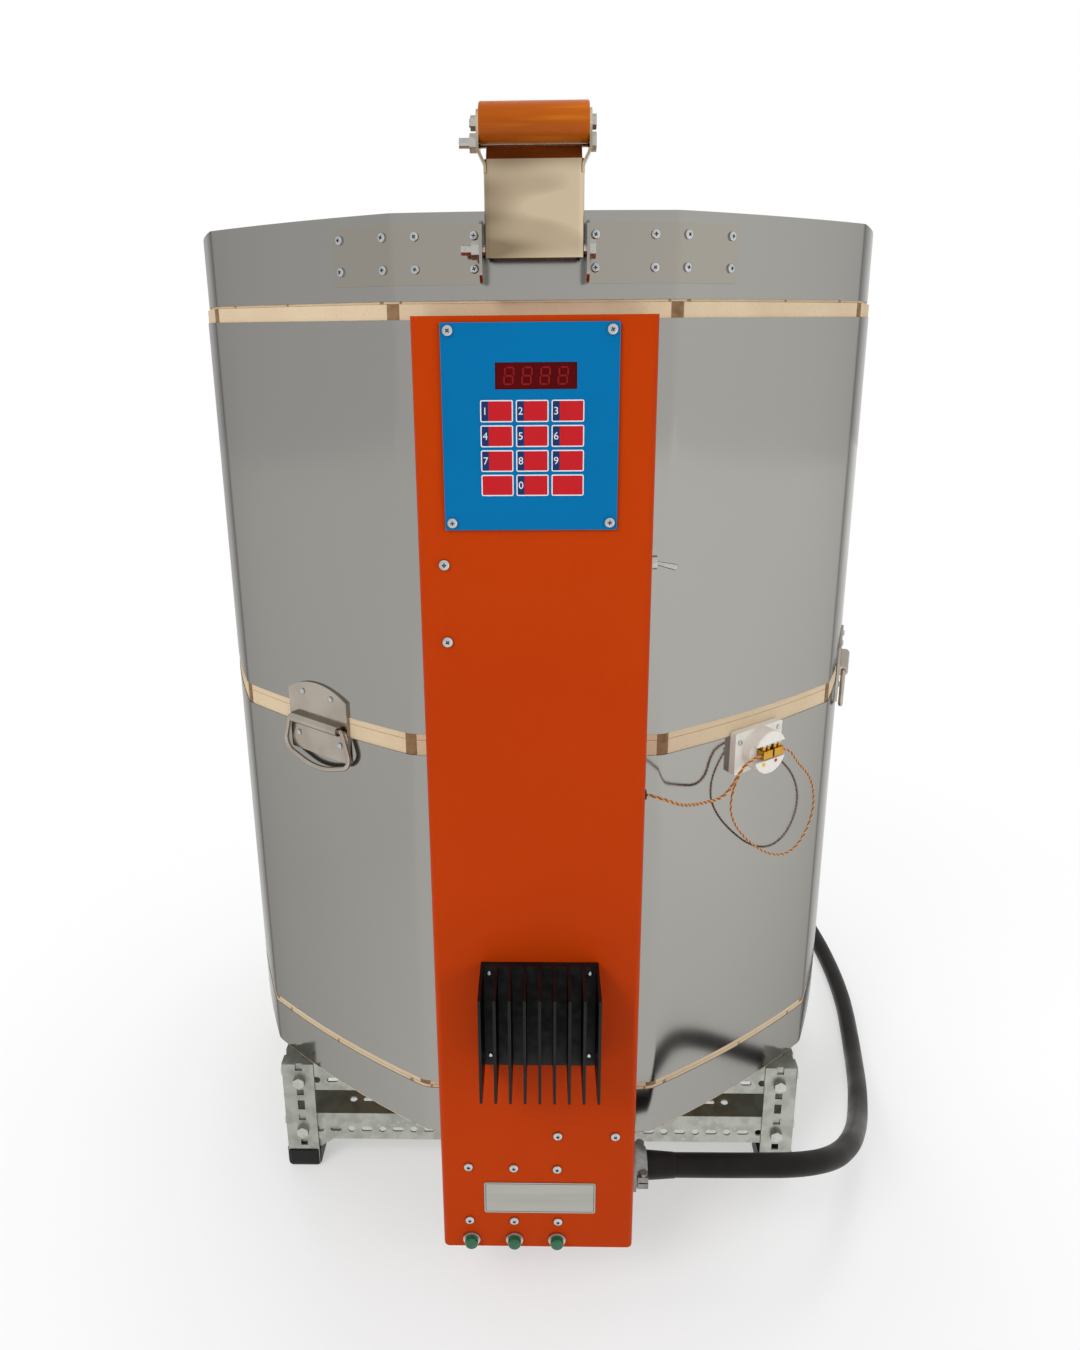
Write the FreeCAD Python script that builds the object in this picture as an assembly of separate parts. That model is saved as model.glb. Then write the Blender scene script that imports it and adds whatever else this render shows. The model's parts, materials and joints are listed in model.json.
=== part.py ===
import FreeCAD, Part
import math
import os

from FreeCAD import Vector

# Electric pottery kiln: a ten-sided barrel of firebrick in stainless jackets on an angle-iron stand,
# with a hinged lid, a folding lid handle, two pairs of drop handles and a control box on the front.
# Millimetres, +Z up, the front is -Y. Pieces are drawn about the kiln's own axis and the whole is
# then moved back so that the origin lies on the floor under the middle of the footprint.

os.makedirs("parts", exist_ok=True)

# Barrel
SIDES = 10
ACROSS_FLATS = 762.6
FACET_BOW = 6.58
CORNER_SOFTNESS = 20.0
WALL = 76.2
SHEET = 0.8
STAND_HEIGHT = 150.0
BASE_THICKNESS = 60.0
RING_HEIGHT = 401.0
LID_THICKNESS = 71.7
LID_GAP = 0.3
LID_INSET = 2.6
BASE_BAND_FOOT = 1.6
BASE_BAND_HEAD = 3.2
SEAM_TURN = -144.0
SEAM_STRIP = 26.0
LOWER_JACKET_FOOT = 5.8
LOWER_JACKET_HEAD = 15.3
UPPER_JACKET_FOOT = 6.9
UPPER_JACKET_HEAD = 13.0
LID_BAND_FOOT = 2.0
LID_BAND_RISE = 0.4
MORTAR_OUTSIDE = 12.0
MORTAR_INSIDE = 0.8

# Heating elements and their grooves
GROOVES = 4
FIRST_GROOVE = 40.0
GROOVE_PITCH = 106.0
GROOVE_RADIUS = 8.0
GROOVE_MOUTH = 11.0
GROOVE_DEPTH = 10.0
COIL_RADIUS = 5.5
COIL_LIFT = 0.2
TAIL_SPACING = 35.0
TAIL_RADIUS = 2.0
BUSHING_RADIUS = 6.0
BUSHING_BORE = 2.4
BUSHING_PROUD = 8.0
CONNECTOR_RADIUS = 4.5
CONNECTOR_LENGTH = 13.0
FIT = 0.1

# Lid hinge
HINGE_OUT = 18.7
HINGE_HALF_WIDTH = 100.0
HINGE_KNUCKLE = 9.0
HINGE_PIN = 4.75
HINGE_RUNNING = 0.05
HINGE_SPLIT = 60.0
HINGE_SIDE_GAP = 0.5
LEAF_THICKNESS = 3.8
LID_LEAF_FOOT = 12.0
LID_LEAF_HEIGHT = 54.0
BODY_LEAF_DROP = 14.0
BODY_LEAF_HEIGHT = 72.0
STOP_REACH = 70.0
STOP_THICKNESS = 6.0
STOP_SIDE = 84.0
STOP_GAP = 0.5
LID_OPENING = 95.0

# Lid handle
EAR_INSIDE = 42.0
EAR_THICKNESS = 2.4
EAR_REACH = 34.0
PLATE_FOOT = 14.7
PLATE_HEIGHT = 48.0
PLATE_THICKNESS = 2.0
PLATE_SIDE_LENGTH = 63.5
PIVOT_OUT = 24.3
PIVOT_UP = 40.2
PIVOT_RADIUS = 4.0
CHANNEL_HALF = 39.4
CHANNEL_THICKNESS = 2.0
CHANNEL_DEPTH = 26.0
CHANNEL_FRONT = 16.0
CHANNEL_FOOT = 7.0
CHANNEL_TOP = 65.5
GRIP_RISE = 93.0
GRIP_RADIUS = 15.5
GRIP_HALF = 43.0
GRIP_FORWARD = 3.0
TIE_BACK = 17.0
TIE_DROP = 11.5
SCREW_RADIUS = 3.9
SCREW_HEIGHT = 2.2

# Drop handles on the middle seam
HANDLE_TURNS = (-36.0, 72.0, 144.0, -108.0)
HANDLE_HALF = 43.0
HANDLE_FOOT = -44.0
HANDLE_HEAD = 22.0
HANDLE_CROWN = 13.0
HANDLE_THICKNESS = 2.0
RIVET_RADIUS = 3.2
RIVETS = ((-21.0, 22.0), (21.0, 22.0), (-31.0, -26.0), (31.0, -26.0))
BARREL_RADIUS = 5.4
BARREL_HALF = 35.0
BARREL_BORE = 2.7
BAIL_WIRE = 2.6
BAIL_HALF = 39.5
BAIL_FLARE = 51.0
BAIL_CORNER = 36.0
BAIL_DROP = 52.0
BAIL_UP = -8.0

# Control box
BOX_DEPTH = 75.7
BOX_HALF = 97.0
BOX_FOOT = 82.0
BOX_DROP = 10.5
BOX_SHEET = 1.5
BOX_BEND = 6.0
PAN_SHEET = 1.5
PAN_STANDOFF = 3.0
LIP = 16.0

# Controller in the box's upper front
PLATE_X = -3.5
PLATE_W = 140.0
PLATE_H = 163.0
PLATE_DROP = 5.0
PLATE_T = 2.4
PLATE_SCREW = 4.2
PLATE_SCREW_INSET = 6.0
WINDOW_W = 64.5
WINDOW_H = 20.7
WINDOW_SHIFT = 4.6
WINDOW_DROP = 40.5
KEY_W = 25.9
KEY_H = 17.2
KEY_PITCH_X = 28.2
KEY_PITCH_Z = 19.6
KEY_COLUMNS = 3
KEY_ROWS = 4
KEY_SHIFT = 1.5
KEY_DROP = 67.5
KEY_RAISE = 0.7
BOARD_W = 126.0
BOARD_H = 140.0
BOARD_T = 1.6
BOARD_BACK = 12.0

# Heat sink on the box's front
SINK_X = 2.5
SINK_W = 110.0
SINK_H = 110.0
SINK_Z = 312.5
SINK_BASE = 7.0
SINK_DEPTH = 57.0
SINK_SCREW = 2.2
SINK_FINS = 9
SINK_FIN = 2.6

# Small pieces on the box
LAMP_X = (-68.0, -24.0, 19.5)
LAMP_Z = 92.5
LAMP_RING = 8.75
LAMP_LENS = 6.75
LAMP_PROUD = 9.0
LAMP_HOLE = 6.0
BOX_SCREW_RADIUS = 4.6
BOX_SCREW_HEIGHT = 2.6
BOX_SCREWS = ((-75.5, 804), (-74.5, 737), (-69.5, 184), (-24, 183), (19.5, 182), (20, 223), (77, 223),
              (-69.5, 116.5), (-24, 116), (20.5, 115.5))
NAME_X = 2.0
NAME_Z = 145.5
NAME_W = 112.5
NAME_H = 38.0
NAME_T = 0.8
TOGGLE_DROP = 35.5
TOGGLE_INSET = 32.0
TOGGLE_TRUNNION = 3.2
TOGGLE_NECK = 1.5
TOGGLE_TIP = 2.9
TOGGLE_LENGTH = 21.0
TOGGLE_TILT = 13.0
GROMMET_RADIUS = 4.6
GROMMET_DROP = 32.0
GROMMET_INSET = 32.0
CORD_Z = 151.0
CORD_INSET = 37.0
CORD_RADIUS = 12.0

# Thermocouple on the facet right of the box
PROBE_TURN = 36.0
PROBE_DROP = 33.0
PROBE_RADIUS = 4.0
PROBE_REACH = 28.0
BLOCK_HALF = 34.0
BLOCK_HEIGHT = 45.0
BLOCK_PLATE = 7.0
BLOCK_BOSS = 23.0
BLOCK_PROUD = 24.0
LEAD_RADIUS = 1.5
LOOP_RADIUS = 1.2
TERMINAL_END = 14.5
TERMINAL_GAP = 1.2

# Stand
LEG_X = 307.0
LEG_Y = 276.5
ANGLE = 38.0
ANGLE_SHEET = 2.0
LOWER_RAIL_Z = 40.0
FOOT_HEIGHT = 25.0
FOOT_SOLE = 5.0
FOOT_WALL = 1.5
HOLE_PITCH = 19.0
HOLE_COUNT = 14
HOLE_ROUND = 4.2
SLOT_HALF = 6.7
SLOT_RISE = 3.1
HOLE_ROW = 14.5
LEG_HOLES = ((36.0, 4.2), (73.0, 4.2), (91.5, 6.7), (110.0, 4.2), (147.0, 6.0))
BOLT_RADIUS = 3.9
BOLT_INSET = 20.5

# Values that follow from the ones above
FLAT = ACROSS_FLATS / 2
TURN = 360.0 / SIDES
HALF = math.radians(TURN / 2)
CORNER_REACH = (FLAT - FACET_BOW) / math.cos(HALF)
CHORD = CORNER_REACH * math.sin(HALF)
FACET_ARC = (CHORD ** 2 + FACET_BOW ** 2) / (2 * FACET_BOW)
FACET_CENTRE = FLAT - FACET_ARC
INNER_FLAT = FLAT - SHEET - WALL
BASE_TOP = STAND_HEIGHT + BASE_THICKNESS
SEAM = BASE_TOP + RING_HEIGHT
RIM = SEAM + RING_HEIGHT
LID_FOOT = RIM + LID_GAP
LID_HEAD = LID_FOOT + LID_THICKNESS
LID_FLAT = FLAT - LID_INSET
HINGE_Y = FLAT + HINGE_OUT
HINGE_Z = RIM + LID_GAP / 2
PIVOT_Y = LID_FLAT + PIVOT_OUT
PIVOT_Z = LID_FOOT + PIVOT_UP
GRIP_Y = PIVOT_Y + GRIP_FORWARD
GRIP_Z = PIVOT_Z + GRIP_RISE
COIL_OUT = INNER_FLAT + GROOVE_DEPTH
COIL_SINK = GROOVE_RADIUS - COIL_RADIUS - COIL_LIFT
PAN_FRONT = FLAT + PAN_STANDOFF + PAN_SHEET
BOX_FRONT = FLAT + BOX_DEPTH
BOX_HEAD = RIM - BOX_DROP
PLATE_Z = BOX_HEAD - PLATE_DROP - PLATE_H
TOGGLE_Z = PLATE_Z - TOGGLE_DROP
TOGGLE_Y = BOX_FRONT - TOGGLE_INSET
PROBE_Z = SEAM - PROBE_DROP
GROMMET_Z = SEAM - GROMMET_DROP
GROMMET_Y = BOX_FRONT - GROMMET_INSET
CORD_Y = BOX_FRONT - CORD_INSET
FRONT_REACH = BOX_FRONT + SINK_DEPTH
REAR_REACH = HINGE_Y + STOP_REACH
AXIS_Y = (FRONT_REACH - REAR_REACH) / 2
GROOVE_HEIGHTS = [FIRST_GROOVE + GROOVE_PITCH * i for i in range(GROOVES)]
RING_FEET = (BASE_TOP, SEAM)

X = Vector(1, 0, 0)
Y = Vector(0, 1, 0)
Z = Vector(0, 0, 1)
ORIGIN = Vector(0, 0, 0)


# Drawing helpers

def box(x0, x1, y0, y1, z0, z1):
    return Part.makeBox(x1 - x0, y1 - y0, z1 - z0, Vector(x0, y0, z0))


def rod(radius, start, direction, length):
    return Part.makeCylinder(radius, length, start, direction)


def join(shapes):
    return shapes[0].multiFuse(shapes[1:]).removeSplitter()


def slab(points, thickness, direction, start):
    """A flat plate: its outline as points in the plane across direction, pushed along direction."""
    place = {"x": lambda a, b: Vector(start, a, b),
             "y": lambda a, b: Vector(a, start, b),
             "z": lambda a, b: Vector(a, b, start)}[direction]
    push = {"x": Vector(thickness, 0, 0), "y": Vector(0, thickness, 0), "z": Vector(0, 0, thickness)}
    corners = [place(a, b) for a, b in points]
    return Part.Face(Part.makePolygon(corners + corners[:1])).extrude(push[direction])


def turned(shape, degrees):
    copy = shape.copy()
    copy.rotate(ORIGIN, Z, degrees)
    return copy


def lifted(shape, height):
    copy = shape.copy()
    copy.translate(Vector(0, 0, height))
    return copy


def mirrored(shape):
    return shape.mirror(ORIGIN, X)


def save(node, shapes):
    """Moves a node back to the footprint's middle and writes it; a list stays separate solids."""
    shape = Part.makeCompound(shapes) if isinstance(shapes, (list, tuple)) else shapes
    moved = shape.copy()
    moved.translate(Vector(0, AXIS_Y, 0))
    moved.exportStep("parts/" + node + ".step")


# The barrel's outline: ten softly bowed facets

def polar(radius, degrees):
    angle = math.radians(degrees)
    return Vector(radius * math.sin(angle), -radius * math.cos(angle), 0)


def corner_reach(offset):
    """Distance from the axis to a corner of the outline that lies offset outside the jacket."""
    arc = FACET_ARC + offset
    return FACET_CENTRE * math.cos(HALF) + math.sqrt(arc ** 2 - (FACET_CENTRE * math.sin(HALF)) ** 2)


def barrel(offset, z0, z1):
    """A solid barrel whose facets lie offset outside the jacket's, with softened corners."""
    edges = []
    for i in range(SIDES):
        start = polar(corner_reach(offset), TURN * (i - 0.5))
        middle = polar(FLAT + offset, TURN * i)
        end = polar(corner_reach(offset), TURN * (i + 0.5))
        edges.append(Part.Arc(start, middle, end).toShape())
    solid = Part.Face(Part.Wire(edges)).extrude(Vector(0, 0, z1 - z0))
    corners = [e for e in solid.Edges if abs(e.Vertexes[0].Z - e.Vertexes[-1].Z) > 0.5 * (z1 - z0)]
    solid = solid.makeFillet(CORNER_SOFTNESS + offset, corners)
    return lifted(solid, z0)


def sheet_ring(offset, z0, z1, thickness=SHEET):
    """A closed band of sheet metal; offset is its outside."""
    return barrel(offset, z0, z1).cut(barrel(offset - thickness, z0 - 1, z1 + 1))


def chamber(z0, z1):
    """The firing chamber: a plain ten-sided prism."""
    reach = INNER_FLAT / math.cos(HALF)
    points = [polar(reach, TURN * (i + 0.5)) for i in range(SIDES)]
    prism = Part.Face(Part.makePolygon(points + points[:1])).extrude(Vector(0, 0, z1 - z0))
    return lifted(prism, z0)


# Brick rings, drawn standing on z = 0 and lifted into place

def joint_point(share, side):
    """A point on the face of a brick joint: share 0 is the chamber wall, 1 the jacket."""
    inner = Vector(INNER_FLAT / math.cos(HALF), MORTAR_INSIDE / 2, 0)
    outer = Vector(corner_reach(-SHEET), MORTAR_OUTSIDE / 2, 0)
    along = inner + (outer - inner) * share
    return along.x, side * along.y


def joint_to_facet(share):
    """The same joint point in the facet's own x (along) and y (outwards)."""
    radial, aside = joint_point(share, -1)
    return (radial * math.sin(HALF) + aside * math.cos(HALF),
            radial * math.cos(HALF) - aside * math.sin(HALF))


def ring_blank():
    return barrel(-SHEET, 0, RING_HEIGHT).cut(chamber(-1, RING_HEIGHT + 1))


def groove_tool():
    """The element grooves of one facet: a bored slot with a narrower mouth."""
    reach = CORNER_REACH / 2
    tools = []
    for z in GROOVE_HEIGHTS:
        bore = rod(GROOVE_RADIUS, Vector(-reach, -COIL_OUT, z), X, 2 * reach)
        mouth = box(-reach, reach, -COIL_OUT, -INNER_FLAT + 5, z - GROOVE_MOUTH / 2, z + GROOVE_MOUTH / 2)
        tools.append(bore.fuse(mouth))
    return Part.makeCompound(tools)


def tail_places():
    return [(side * TAIL_SPACING / 2, z - COIL_SINK) for z in GROOVE_HEIGHTS for side in (-1, 1)]


def bushing_holes(radius, inside, outside):
    return Part.makeCompound([rod(radius, Vector(x, -inside, z), -Y, outside - inside)
                              for x, z in tail_places()])


def brick_segments():
    inner_x, inner_y = joint_to_facet(-0.05)
    outer_x, outer_y = joint_to_facet(1.3)
    plan = [(-inner_x, -inner_y), (inner_x, -inner_y), (outer_x, -outer_y), (-outer_x, -outer_y)]
    brick = slab(plan, RING_HEIGHT, "z", 0).common(ring_blank()).cut(groove_tool())
    segments = [turned(brick, TURN * i) for i in range(SIDES)]
    front = brick.cut(bushing_holes(BUSHING_RADIUS + FIT / 2, COIL_OUT, CORNER_REACH))
    segments[0] = front
    return segments


def mortar_wedges():
    outline = [joint_point(0.02, -1), joint_point(1.3, -1), joint_point(1.3, 1), joint_point(0.02, 1)]
    wedge = slab(outline, RING_HEIGHT, "z", 0)
    wedge.rotate(ORIGIN, Z, -90)
    wedge = turned(wedge, TURN / 2).common(ring_blank())
    wedge = wedge.cut(groove_tool()).cut(turned(groove_tool(), TURN))
    return [turned(wedge, TURN * i) for i in range(SIDES)]


PROBE_HOLE = turned(rod(PROBE_RADIUS + FIT, Vector(0, -INNER_FLAT + 20, PROBE_Z), -Y, WALL + 40),
                    PROBE_TURN)

segments = brick_segments()
wedges = mortar_wedges()
lower = [lifted(s, BASE_TOP) for s in segments]
probe_segment = round(PROBE_TURN / TURN)
lower[probe_segment] = lower[probe_segment].cut(PROBE_HOLE)
save("lower_ring_bricks", lower)
save("upper_ring_bricks", [lifted(s, SEAM) for s in segments])
save("ring_mortar", [lifted(w, foot) for foot in RING_FEET for w in wedges])


# Heating elements: one coil envelope per groove, with two tails out through the front wall

def element():
    half_sector = math.tan(HALF) * CORNER_REACH
    sector = slab([(0, 0), (half_sector, -CORNER_REACH), (-half_sector, -CORNER_REACH)], 40, "z", -20)
    reach = CORNER_REACH / 2
    run = rod(COIL_RADIUS, Vector(-reach, -COIL_OUT, 0), X, 2 * reach).common(sector)
    runs = [turned(run, TURN * i) for i in range(1, SIDES)]
    gap = TAIL_SPACING / 2 - COIL_RADIUS / 2
    runs.append(run.cut(box(-gap, gap, -CORNER_REACH, 0, -20, 20)))
    tail_length = FLAT + BUSHING_PROUD + CONNECTOR_LENGTH / 2 - COIL_OUT
    for side in (-1, 1):
        runs.append(rod(TAIL_RADIUS, Vector(side * TAIL_SPACING / 2, -COIL_OUT, 0), -Y, tail_length))
    return join(runs)


one_element = element()
save("heating_elements", [lifted(one_element, foot + z - COIL_SINK)
                          for foot in RING_FEET for z in GROOVE_HEIGHTS])


def bushing(x, z):
    """A porcelain tube through the wall, round one element tail."""
    start = Vector(x, -(COIL_OUT + COIL_RADIUS + 1), z)
    length = FLAT + BUSHING_PROUD - (COIL_OUT + COIL_RADIUS + 1)
    return rod(BUSHING_RADIUS, start, -Y, length).cut(rod(BUSHING_BORE, start, -Y, length))


def tail_connector(x, z):
    """A brass barrel on the tail's end, with its clamping screw on top."""
    start = Vector(x, -(FLAT + BUSHING_PROUD), z)
    body = rod(CONNECTOR_RADIUS, start, -Y, CONNECTOR_LENGTH)
    screw = rod(2.0, Vector(x, start.y - CONNECTOR_LENGTH * 0.7, z), Z, CONNECTOR_RADIUS + 2.5)
    bore = rod(TAIL_RADIUS, start, -Y, CONNECTOR_LENGTH / 2)
    return body.fuse(screw).cut(bore)


places = [(x, z + foot) for foot in RING_FEET for x, z in tail_places()]
save("element_bushings", [bushing(x, z) for x, z in places])
save("tail_connectors", [tail_connector(x, z) for x, z in places])


# Base slab, jackets and bands

def seamed_band(offset, z0, z1):
    """A steel band whose two ends meet behind a cover strip at the back."""
    strip = box(-SEAM_STRIP / 2, SEAM_STRIP / 2, -CORNER_REACH - 20, -INNER_FLAT, z0, z1)
    region = turned(strip, SEAM_TURN)
    strip = sheet_ring(offset + 1.0, z0, z1, 1.0).common(region)
    return sheet_ring(offset, z0, z1).fuse(strip).removeSplitter()


def jacket(foot, foot_margin, head_margin):
    band = seamed_band(0, foot + foot_margin, foot + RING_HEIGHT - head_margin)
    return band.cut(lifted(bushing_holes(BUSHING_RADIUS + FIT, COIL_OUT, CORNER_REACH), foot))


save("base_slab", barrel(-SHEET, STAND_HEIGHT, BASE_TOP))
save("base_band", seamed_band(0, STAND_HEIGHT + BASE_BAND_FOOT, BASE_TOP - BASE_BAND_HEAD))
save("lower_jacket", jacket(BASE_TOP, LOWER_JACKET_FOOT, LOWER_JACKET_HEAD).cut(PROBE_HOLE))
save("upper_jacket", jacket(SEAM, UPPER_JACKET_FOOT, UPPER_JACKET_HEAD))
save("lid_slab", barrel(-LID_INSET - SHEET, LID_FOOT, LID_HEAD))
save("lid_band", seamed_band(-LID_INSET, LID_FOOT + LID_BAND_FOOT, LID_HEAD + LID_BAND_RISE))


# Screws with domed heads, standing on a surface

def domed_head(radius, height):
    """A pan head that stands on z = 0, with a rounded top."""
    head = rod(radius, Vector(0, 0, 0), Z, height)
    rim = [e for e in head.Edges if e.Closed and e.CenterOfMass.z > height / 2]
    return head.makeFillet(height * 0.6, rim)


def screw_at(radius, height, place, facing):
    """A pan head placed with its seat at place and its top facing that way (-Y or X)."""
    head = domed_head(radius, height)
    if facing == "front":
        head.rotate(ORIGIN, X, 90)
    if facing == "right":
        head.rotate(ORIGIN, Y, 90)
    head.translate(place)
    return head


def facet_screw(radius, height, turn, along, z, out):
    """A screw square to a bowed facet: along is its place across, out the surface it stands on."""
    bow = FACET_ARC - FLAT + out
    surface = FACET_CENTRE + math.sqrt(bow ** 2 - along ** 2)
    head = screw_at(radius, height, ORIGIN, "front")
    head.rotate(ORIGIN, Z, math.degrees(math.asin(along / bow)))
    head.translate(Vector(along, -surface, z))
    return turned(head, turn)


def hexagon(across, height, start, direction):
    """A hexagonal nut or bolt head."""
    reach = across / math.sqrt(3)
    points = [Vector(reach * math.cos(math.radians(60 * i)), reach * math.sin(math.radians(60 * i)), 0)
              for i in range(6)]
    solid = Part.Face(Part.makePolygon(points + points[:1])).extrude(Vector(0, 0, height))
    solid.rotate(ORIGIN, Y if direction is X else X, 90 if direction is X else -90)
    solid.translate(start)
    return solid


# Lid hinge: a leaf on the lid band, a leaf with two stop arms on the upper jacket, and the pin

def knuckle(x0, x1):
    return rod(HINGE_KNUCKLE, Vector(x0, HINGE_Y, HINGE_Z), X, x1 - x0)


def hinge_bore():
    start = Vector(-HINGE_HALF_WIDTH - 1, HINGE_Y, HINGE_Z)
    return rod(HINGE_PIN + HINGE_RUNNING, start, X, 2 * HINGE_HALF_WIDTH + 2)


def strap(x0, x1, plate_y, plate_z, rise):
    """The bent web between a leaf's edge and its knuckle; rise is the way from pin to leaf."""
    outer = HINGE_KNUCKLE * 0.8
    points = [(plate_y - 9, plate_z), (plate_y, plate_z + rise * 14),
              (HINGE_Y + outer * 0.7, HINGE_Z + rise * outer * 0.9),
              (HINGE_Y - outer, HINGE_Z + rise * 3.4)]
    return slab(points, x1 - x0, "x", x0)


def stop_rise(back):
    """Height above the pin of the open lid leaf's outer face at a distance back of the pin, less a gap."""
    opening = math.radians(LID_OPENING)
    face = lid_leaf_face - HINGE_Y
    up = (back - face * math.cos(opening)) / math.sin(opening)
    return up * math.cos(opening) - face * math.sin(opening) - STOP_GAP


lid_leaf_face = LID_FLAT + LEAF_THICKNESS
lid_leaf_z = LID_FOOT + LID_LEAF_FOOT
lid_knuckle_half = HINGE_SPLIT - HINGE_SIDE_GAP
lid_leaf = box(-HINGE_HALF_WIDTH + 8, HINGE_HALF_WIDTH - 8, LID_FLAT - 12, lid_leaf_face,
               lid_leaf_z, lid_leaf_z + LID_LEAF_HEIGHT)
lid_leaf = join([lid_leaf, strap(-lid_knuckle_half, lid_knuckle_half, lid_leaf_face, lid_leaf_z, 1),
                 knuckle(-lid_knuckle_half, lid_knuckle_half)])
lid_leaf = lid_leaf.cut(barrel(-LID_INSET, LID_FOOT - 5, LID_HEAD + 5)).cut(hinge_bore())
save("lid_hinge_leaf", lid_leaf)

body_leaf_face = FLAT + LEAF_THICKNESS
body_leaf_top = RIM - BODY_LEAF_DROP
body_leaf_foot = body_leaf_top - BODY_LEAF_HEIGHT
body_leaf = [box(-HINGE_HALF_WIDTH, HINGE_HALF_WIDTH, FLAT - 12, body_leaf_face,
                 body_leaf_foot, body_leaf_top)]
for side in (-1, 1):
    low, high = sorted((side * HINGE_SPLIT, side * HINGE_HALF_WIDTH))
    body_leaf.append(strap(low, high, body_leaf_face, body_leaf_top, -1))
    body_leaf.append(knuckle(low, high))
    # The lid stands open against these arms, a little past upright.
    arm = [(body_leaf_face - 2, body_leaf_foot + 6), (HINGE_Y + STOP_REACH, HINGE_Z),
           (HINGE_Y + STOP_REACH, HINGE_Z + stop_rise(STOP_REACH)),
           (HINGE_Y + 14, HINGE_Z + stop_rise(14)),
           (HINGE_Y, HINGE_Z + 5), (body_leaf_face - 2, body_leaf_top - 4)]
    arm_start = min(side * STOP_SIDE, side * (STOP_SIDE + STOP_THICKNESS))
    body_leaf.append(slab(arm, STOP_THICKNESS, "x", arm_start))
body_leaf = join(body_leaf).cut(barrel(0, body_leaf_foot - 5, RIM + 5)).cut(hinge_bore())
save("body_hinge_leaf", body_leaf)

pin_start = Vector(-HINGE_HALF_WIDTH - 4, HINGE_Y, HINGE_Z)
pin = rod(HINGE_PIN, pin_start, X, 2 * HINGE_HALF_WIDTH + 8)
pin_caps = [rod(HINGE_PIN + 2.5, Vector(x, HINGE_Y, HINGE_Z), X, 3.8)
            for x in (-HINGE_HALF_WIDTH - 4, HINGE_HALF_WIDTH + 0.2)]
save("hinge_pin", join([pin] + pin_caps))

hinge_screws = []
for along in (-70.0, 0.0, 70.0):
    place = Vector(along, -lid_leaf_face, lid_leaf_z + LID_LEAF_HEIGHT * 0.7)
    hinge_screws.append(turned(screw_at(SCREW_RADIUS + 1, SCREW_HEIGHT + 1, place, "front"), 180))
lid_hinge_screws = hinge_screws
hinge_screws = []
for along in (-50.0, 0.0, 50.0):
    for z in (body_leaf_foot + 14, body_leaf_top - 16):
        place = Vector(along, -body_leaf_face, z)
        hinge_screws.append(turned(screw_at(SCREW_RADIUS + 1, SCREW_HEIGHT + 1, place, "front"), 180))
body_hinge_screws = hinge_screws


# Lid handle plates: bent round the lid's front corners, each with an ear for the pivot

plate_foot = LID_FOOT + PLATE_FOOT
plate_head = plate_foot + PLATE_HEIGHT
side_end = TURN - math.degrees(math.atan2(CHORD - PLATE_SIDE_LENGTH, FLAT))


def lid_plate():
    band = sheet_ring(-LID_INSET + PLATE_THICKNESS, plate_foot, plate_head, PLATE_THICKNESS)
    near = LID_FLAT - 60
    far = LID_FLAT + 160
    end_far = polar(far, side_end)
    end_near = polar(near, side_end)
    region = [(EAR_INSIDE, -near), (EAR_INSIDE, -far), (end_far.x, end_far.y), (end_near.x, end_near.y)]
    plate = band.common(slab(region, PLATE_HEIGHT, "z", plate_foot))
    ear = box(EAR_INSIDE, EAR_INSIDE + EAR_THICKNESS, -LID_FLAT - EAR_REACH, -LID_FLAT + 5,
              plate_foot, plate_head)
    middle = -LID_FLAT - EAR_REACH / 2
    front_edges = [e for e in ear.Edges
                   if e.BoundBox.XLength > EAR_THICKNESS / 2 and e.CenterOfMass.y < middle]
    ear = ear.makeFillet(9.0, front_edges)
    ear = ear.cut(barrel(-LID_INSET, plate_foot - 1, plate_head + 1))
    hole = rod(PIVOT_RADIUS + HINGE_RUNNING, Vector(0, -PIVOT_Y, PIVOT_Z), X, 2 * EAR_INSIDE)
    return plate.fuse(ear).removeSplitter().cut(hole)


right_plate = lid_plate()
save("lid_plates", [right_plate, mirrored(right_plate)])


def plate_screws():
    """Eight screws a side: two pairs on the front facet and two on the next one."""
    out = LID_FLAT + PLATE_THICKNESS
    heads = []
    for z in (PIVOT_Z - 13, PIVOT_Z + 13):
        for along in (EAR_INSIDE + 8.5, EAR_INSIDE + 58.5):
            heads.append(facet_screw(SCREW_RADIUS, SCREW_HEIGHT, 0, along, z, out))
        for along in (8.0, PLATE_SIDE_LENGTH - 8.0):
            heads.append(facet_screw(SCREW_RADIUS, SCREW_HEIGHT, TURN, along - CHORD, z, out))
    return heads


save("lid_screws", plate_screws() + [mirrored(s) for s in plate_screws()] + lid_hinge_screws)

# Pivot bolt through the ears, with its nut and stud end on the left
ear_outside = EAR_INSIDE + EAR_THICKNESS
pivot = rod(PIVOT_RADIUS, Vector(-ear_outside - 15, -PIVOT_Y, PIVOT_Z), X, 2 * ear_outside + 15)
pivot_head = hexagon(13.0, 5.0, Vector(ear_outside, -PIVOT_Y, PIVOT_Z), X)
pivot_nut = hexagon(13.0, 6.5, Vector(-ear_outside - 6.5, -PIVOT_Y, PIVOT_Z), X)
save("handle_pivot_bolt", join([pivot, pivot_head, pivot_nut]))


# Lid handle: a pressed channel that swings on the pivot bolt and carries the wooden grip

channel_front = -PIVOT_Y - CHANNEL_FRONT
channel_back = channel_front + CHANNEL_DEPTH
channel_foot = PIVOT_Z - CHANNEL_FOOT
channel_top = PIVOT_Z + CHANNEL_TOP
tie_y = -GRIP_Y + TIE_BACK
tie_z = GRIP_Z - TIE_DROP
cheek_outside = GRIP_HALF + FIT + CHANNEL_THICKNESS


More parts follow.
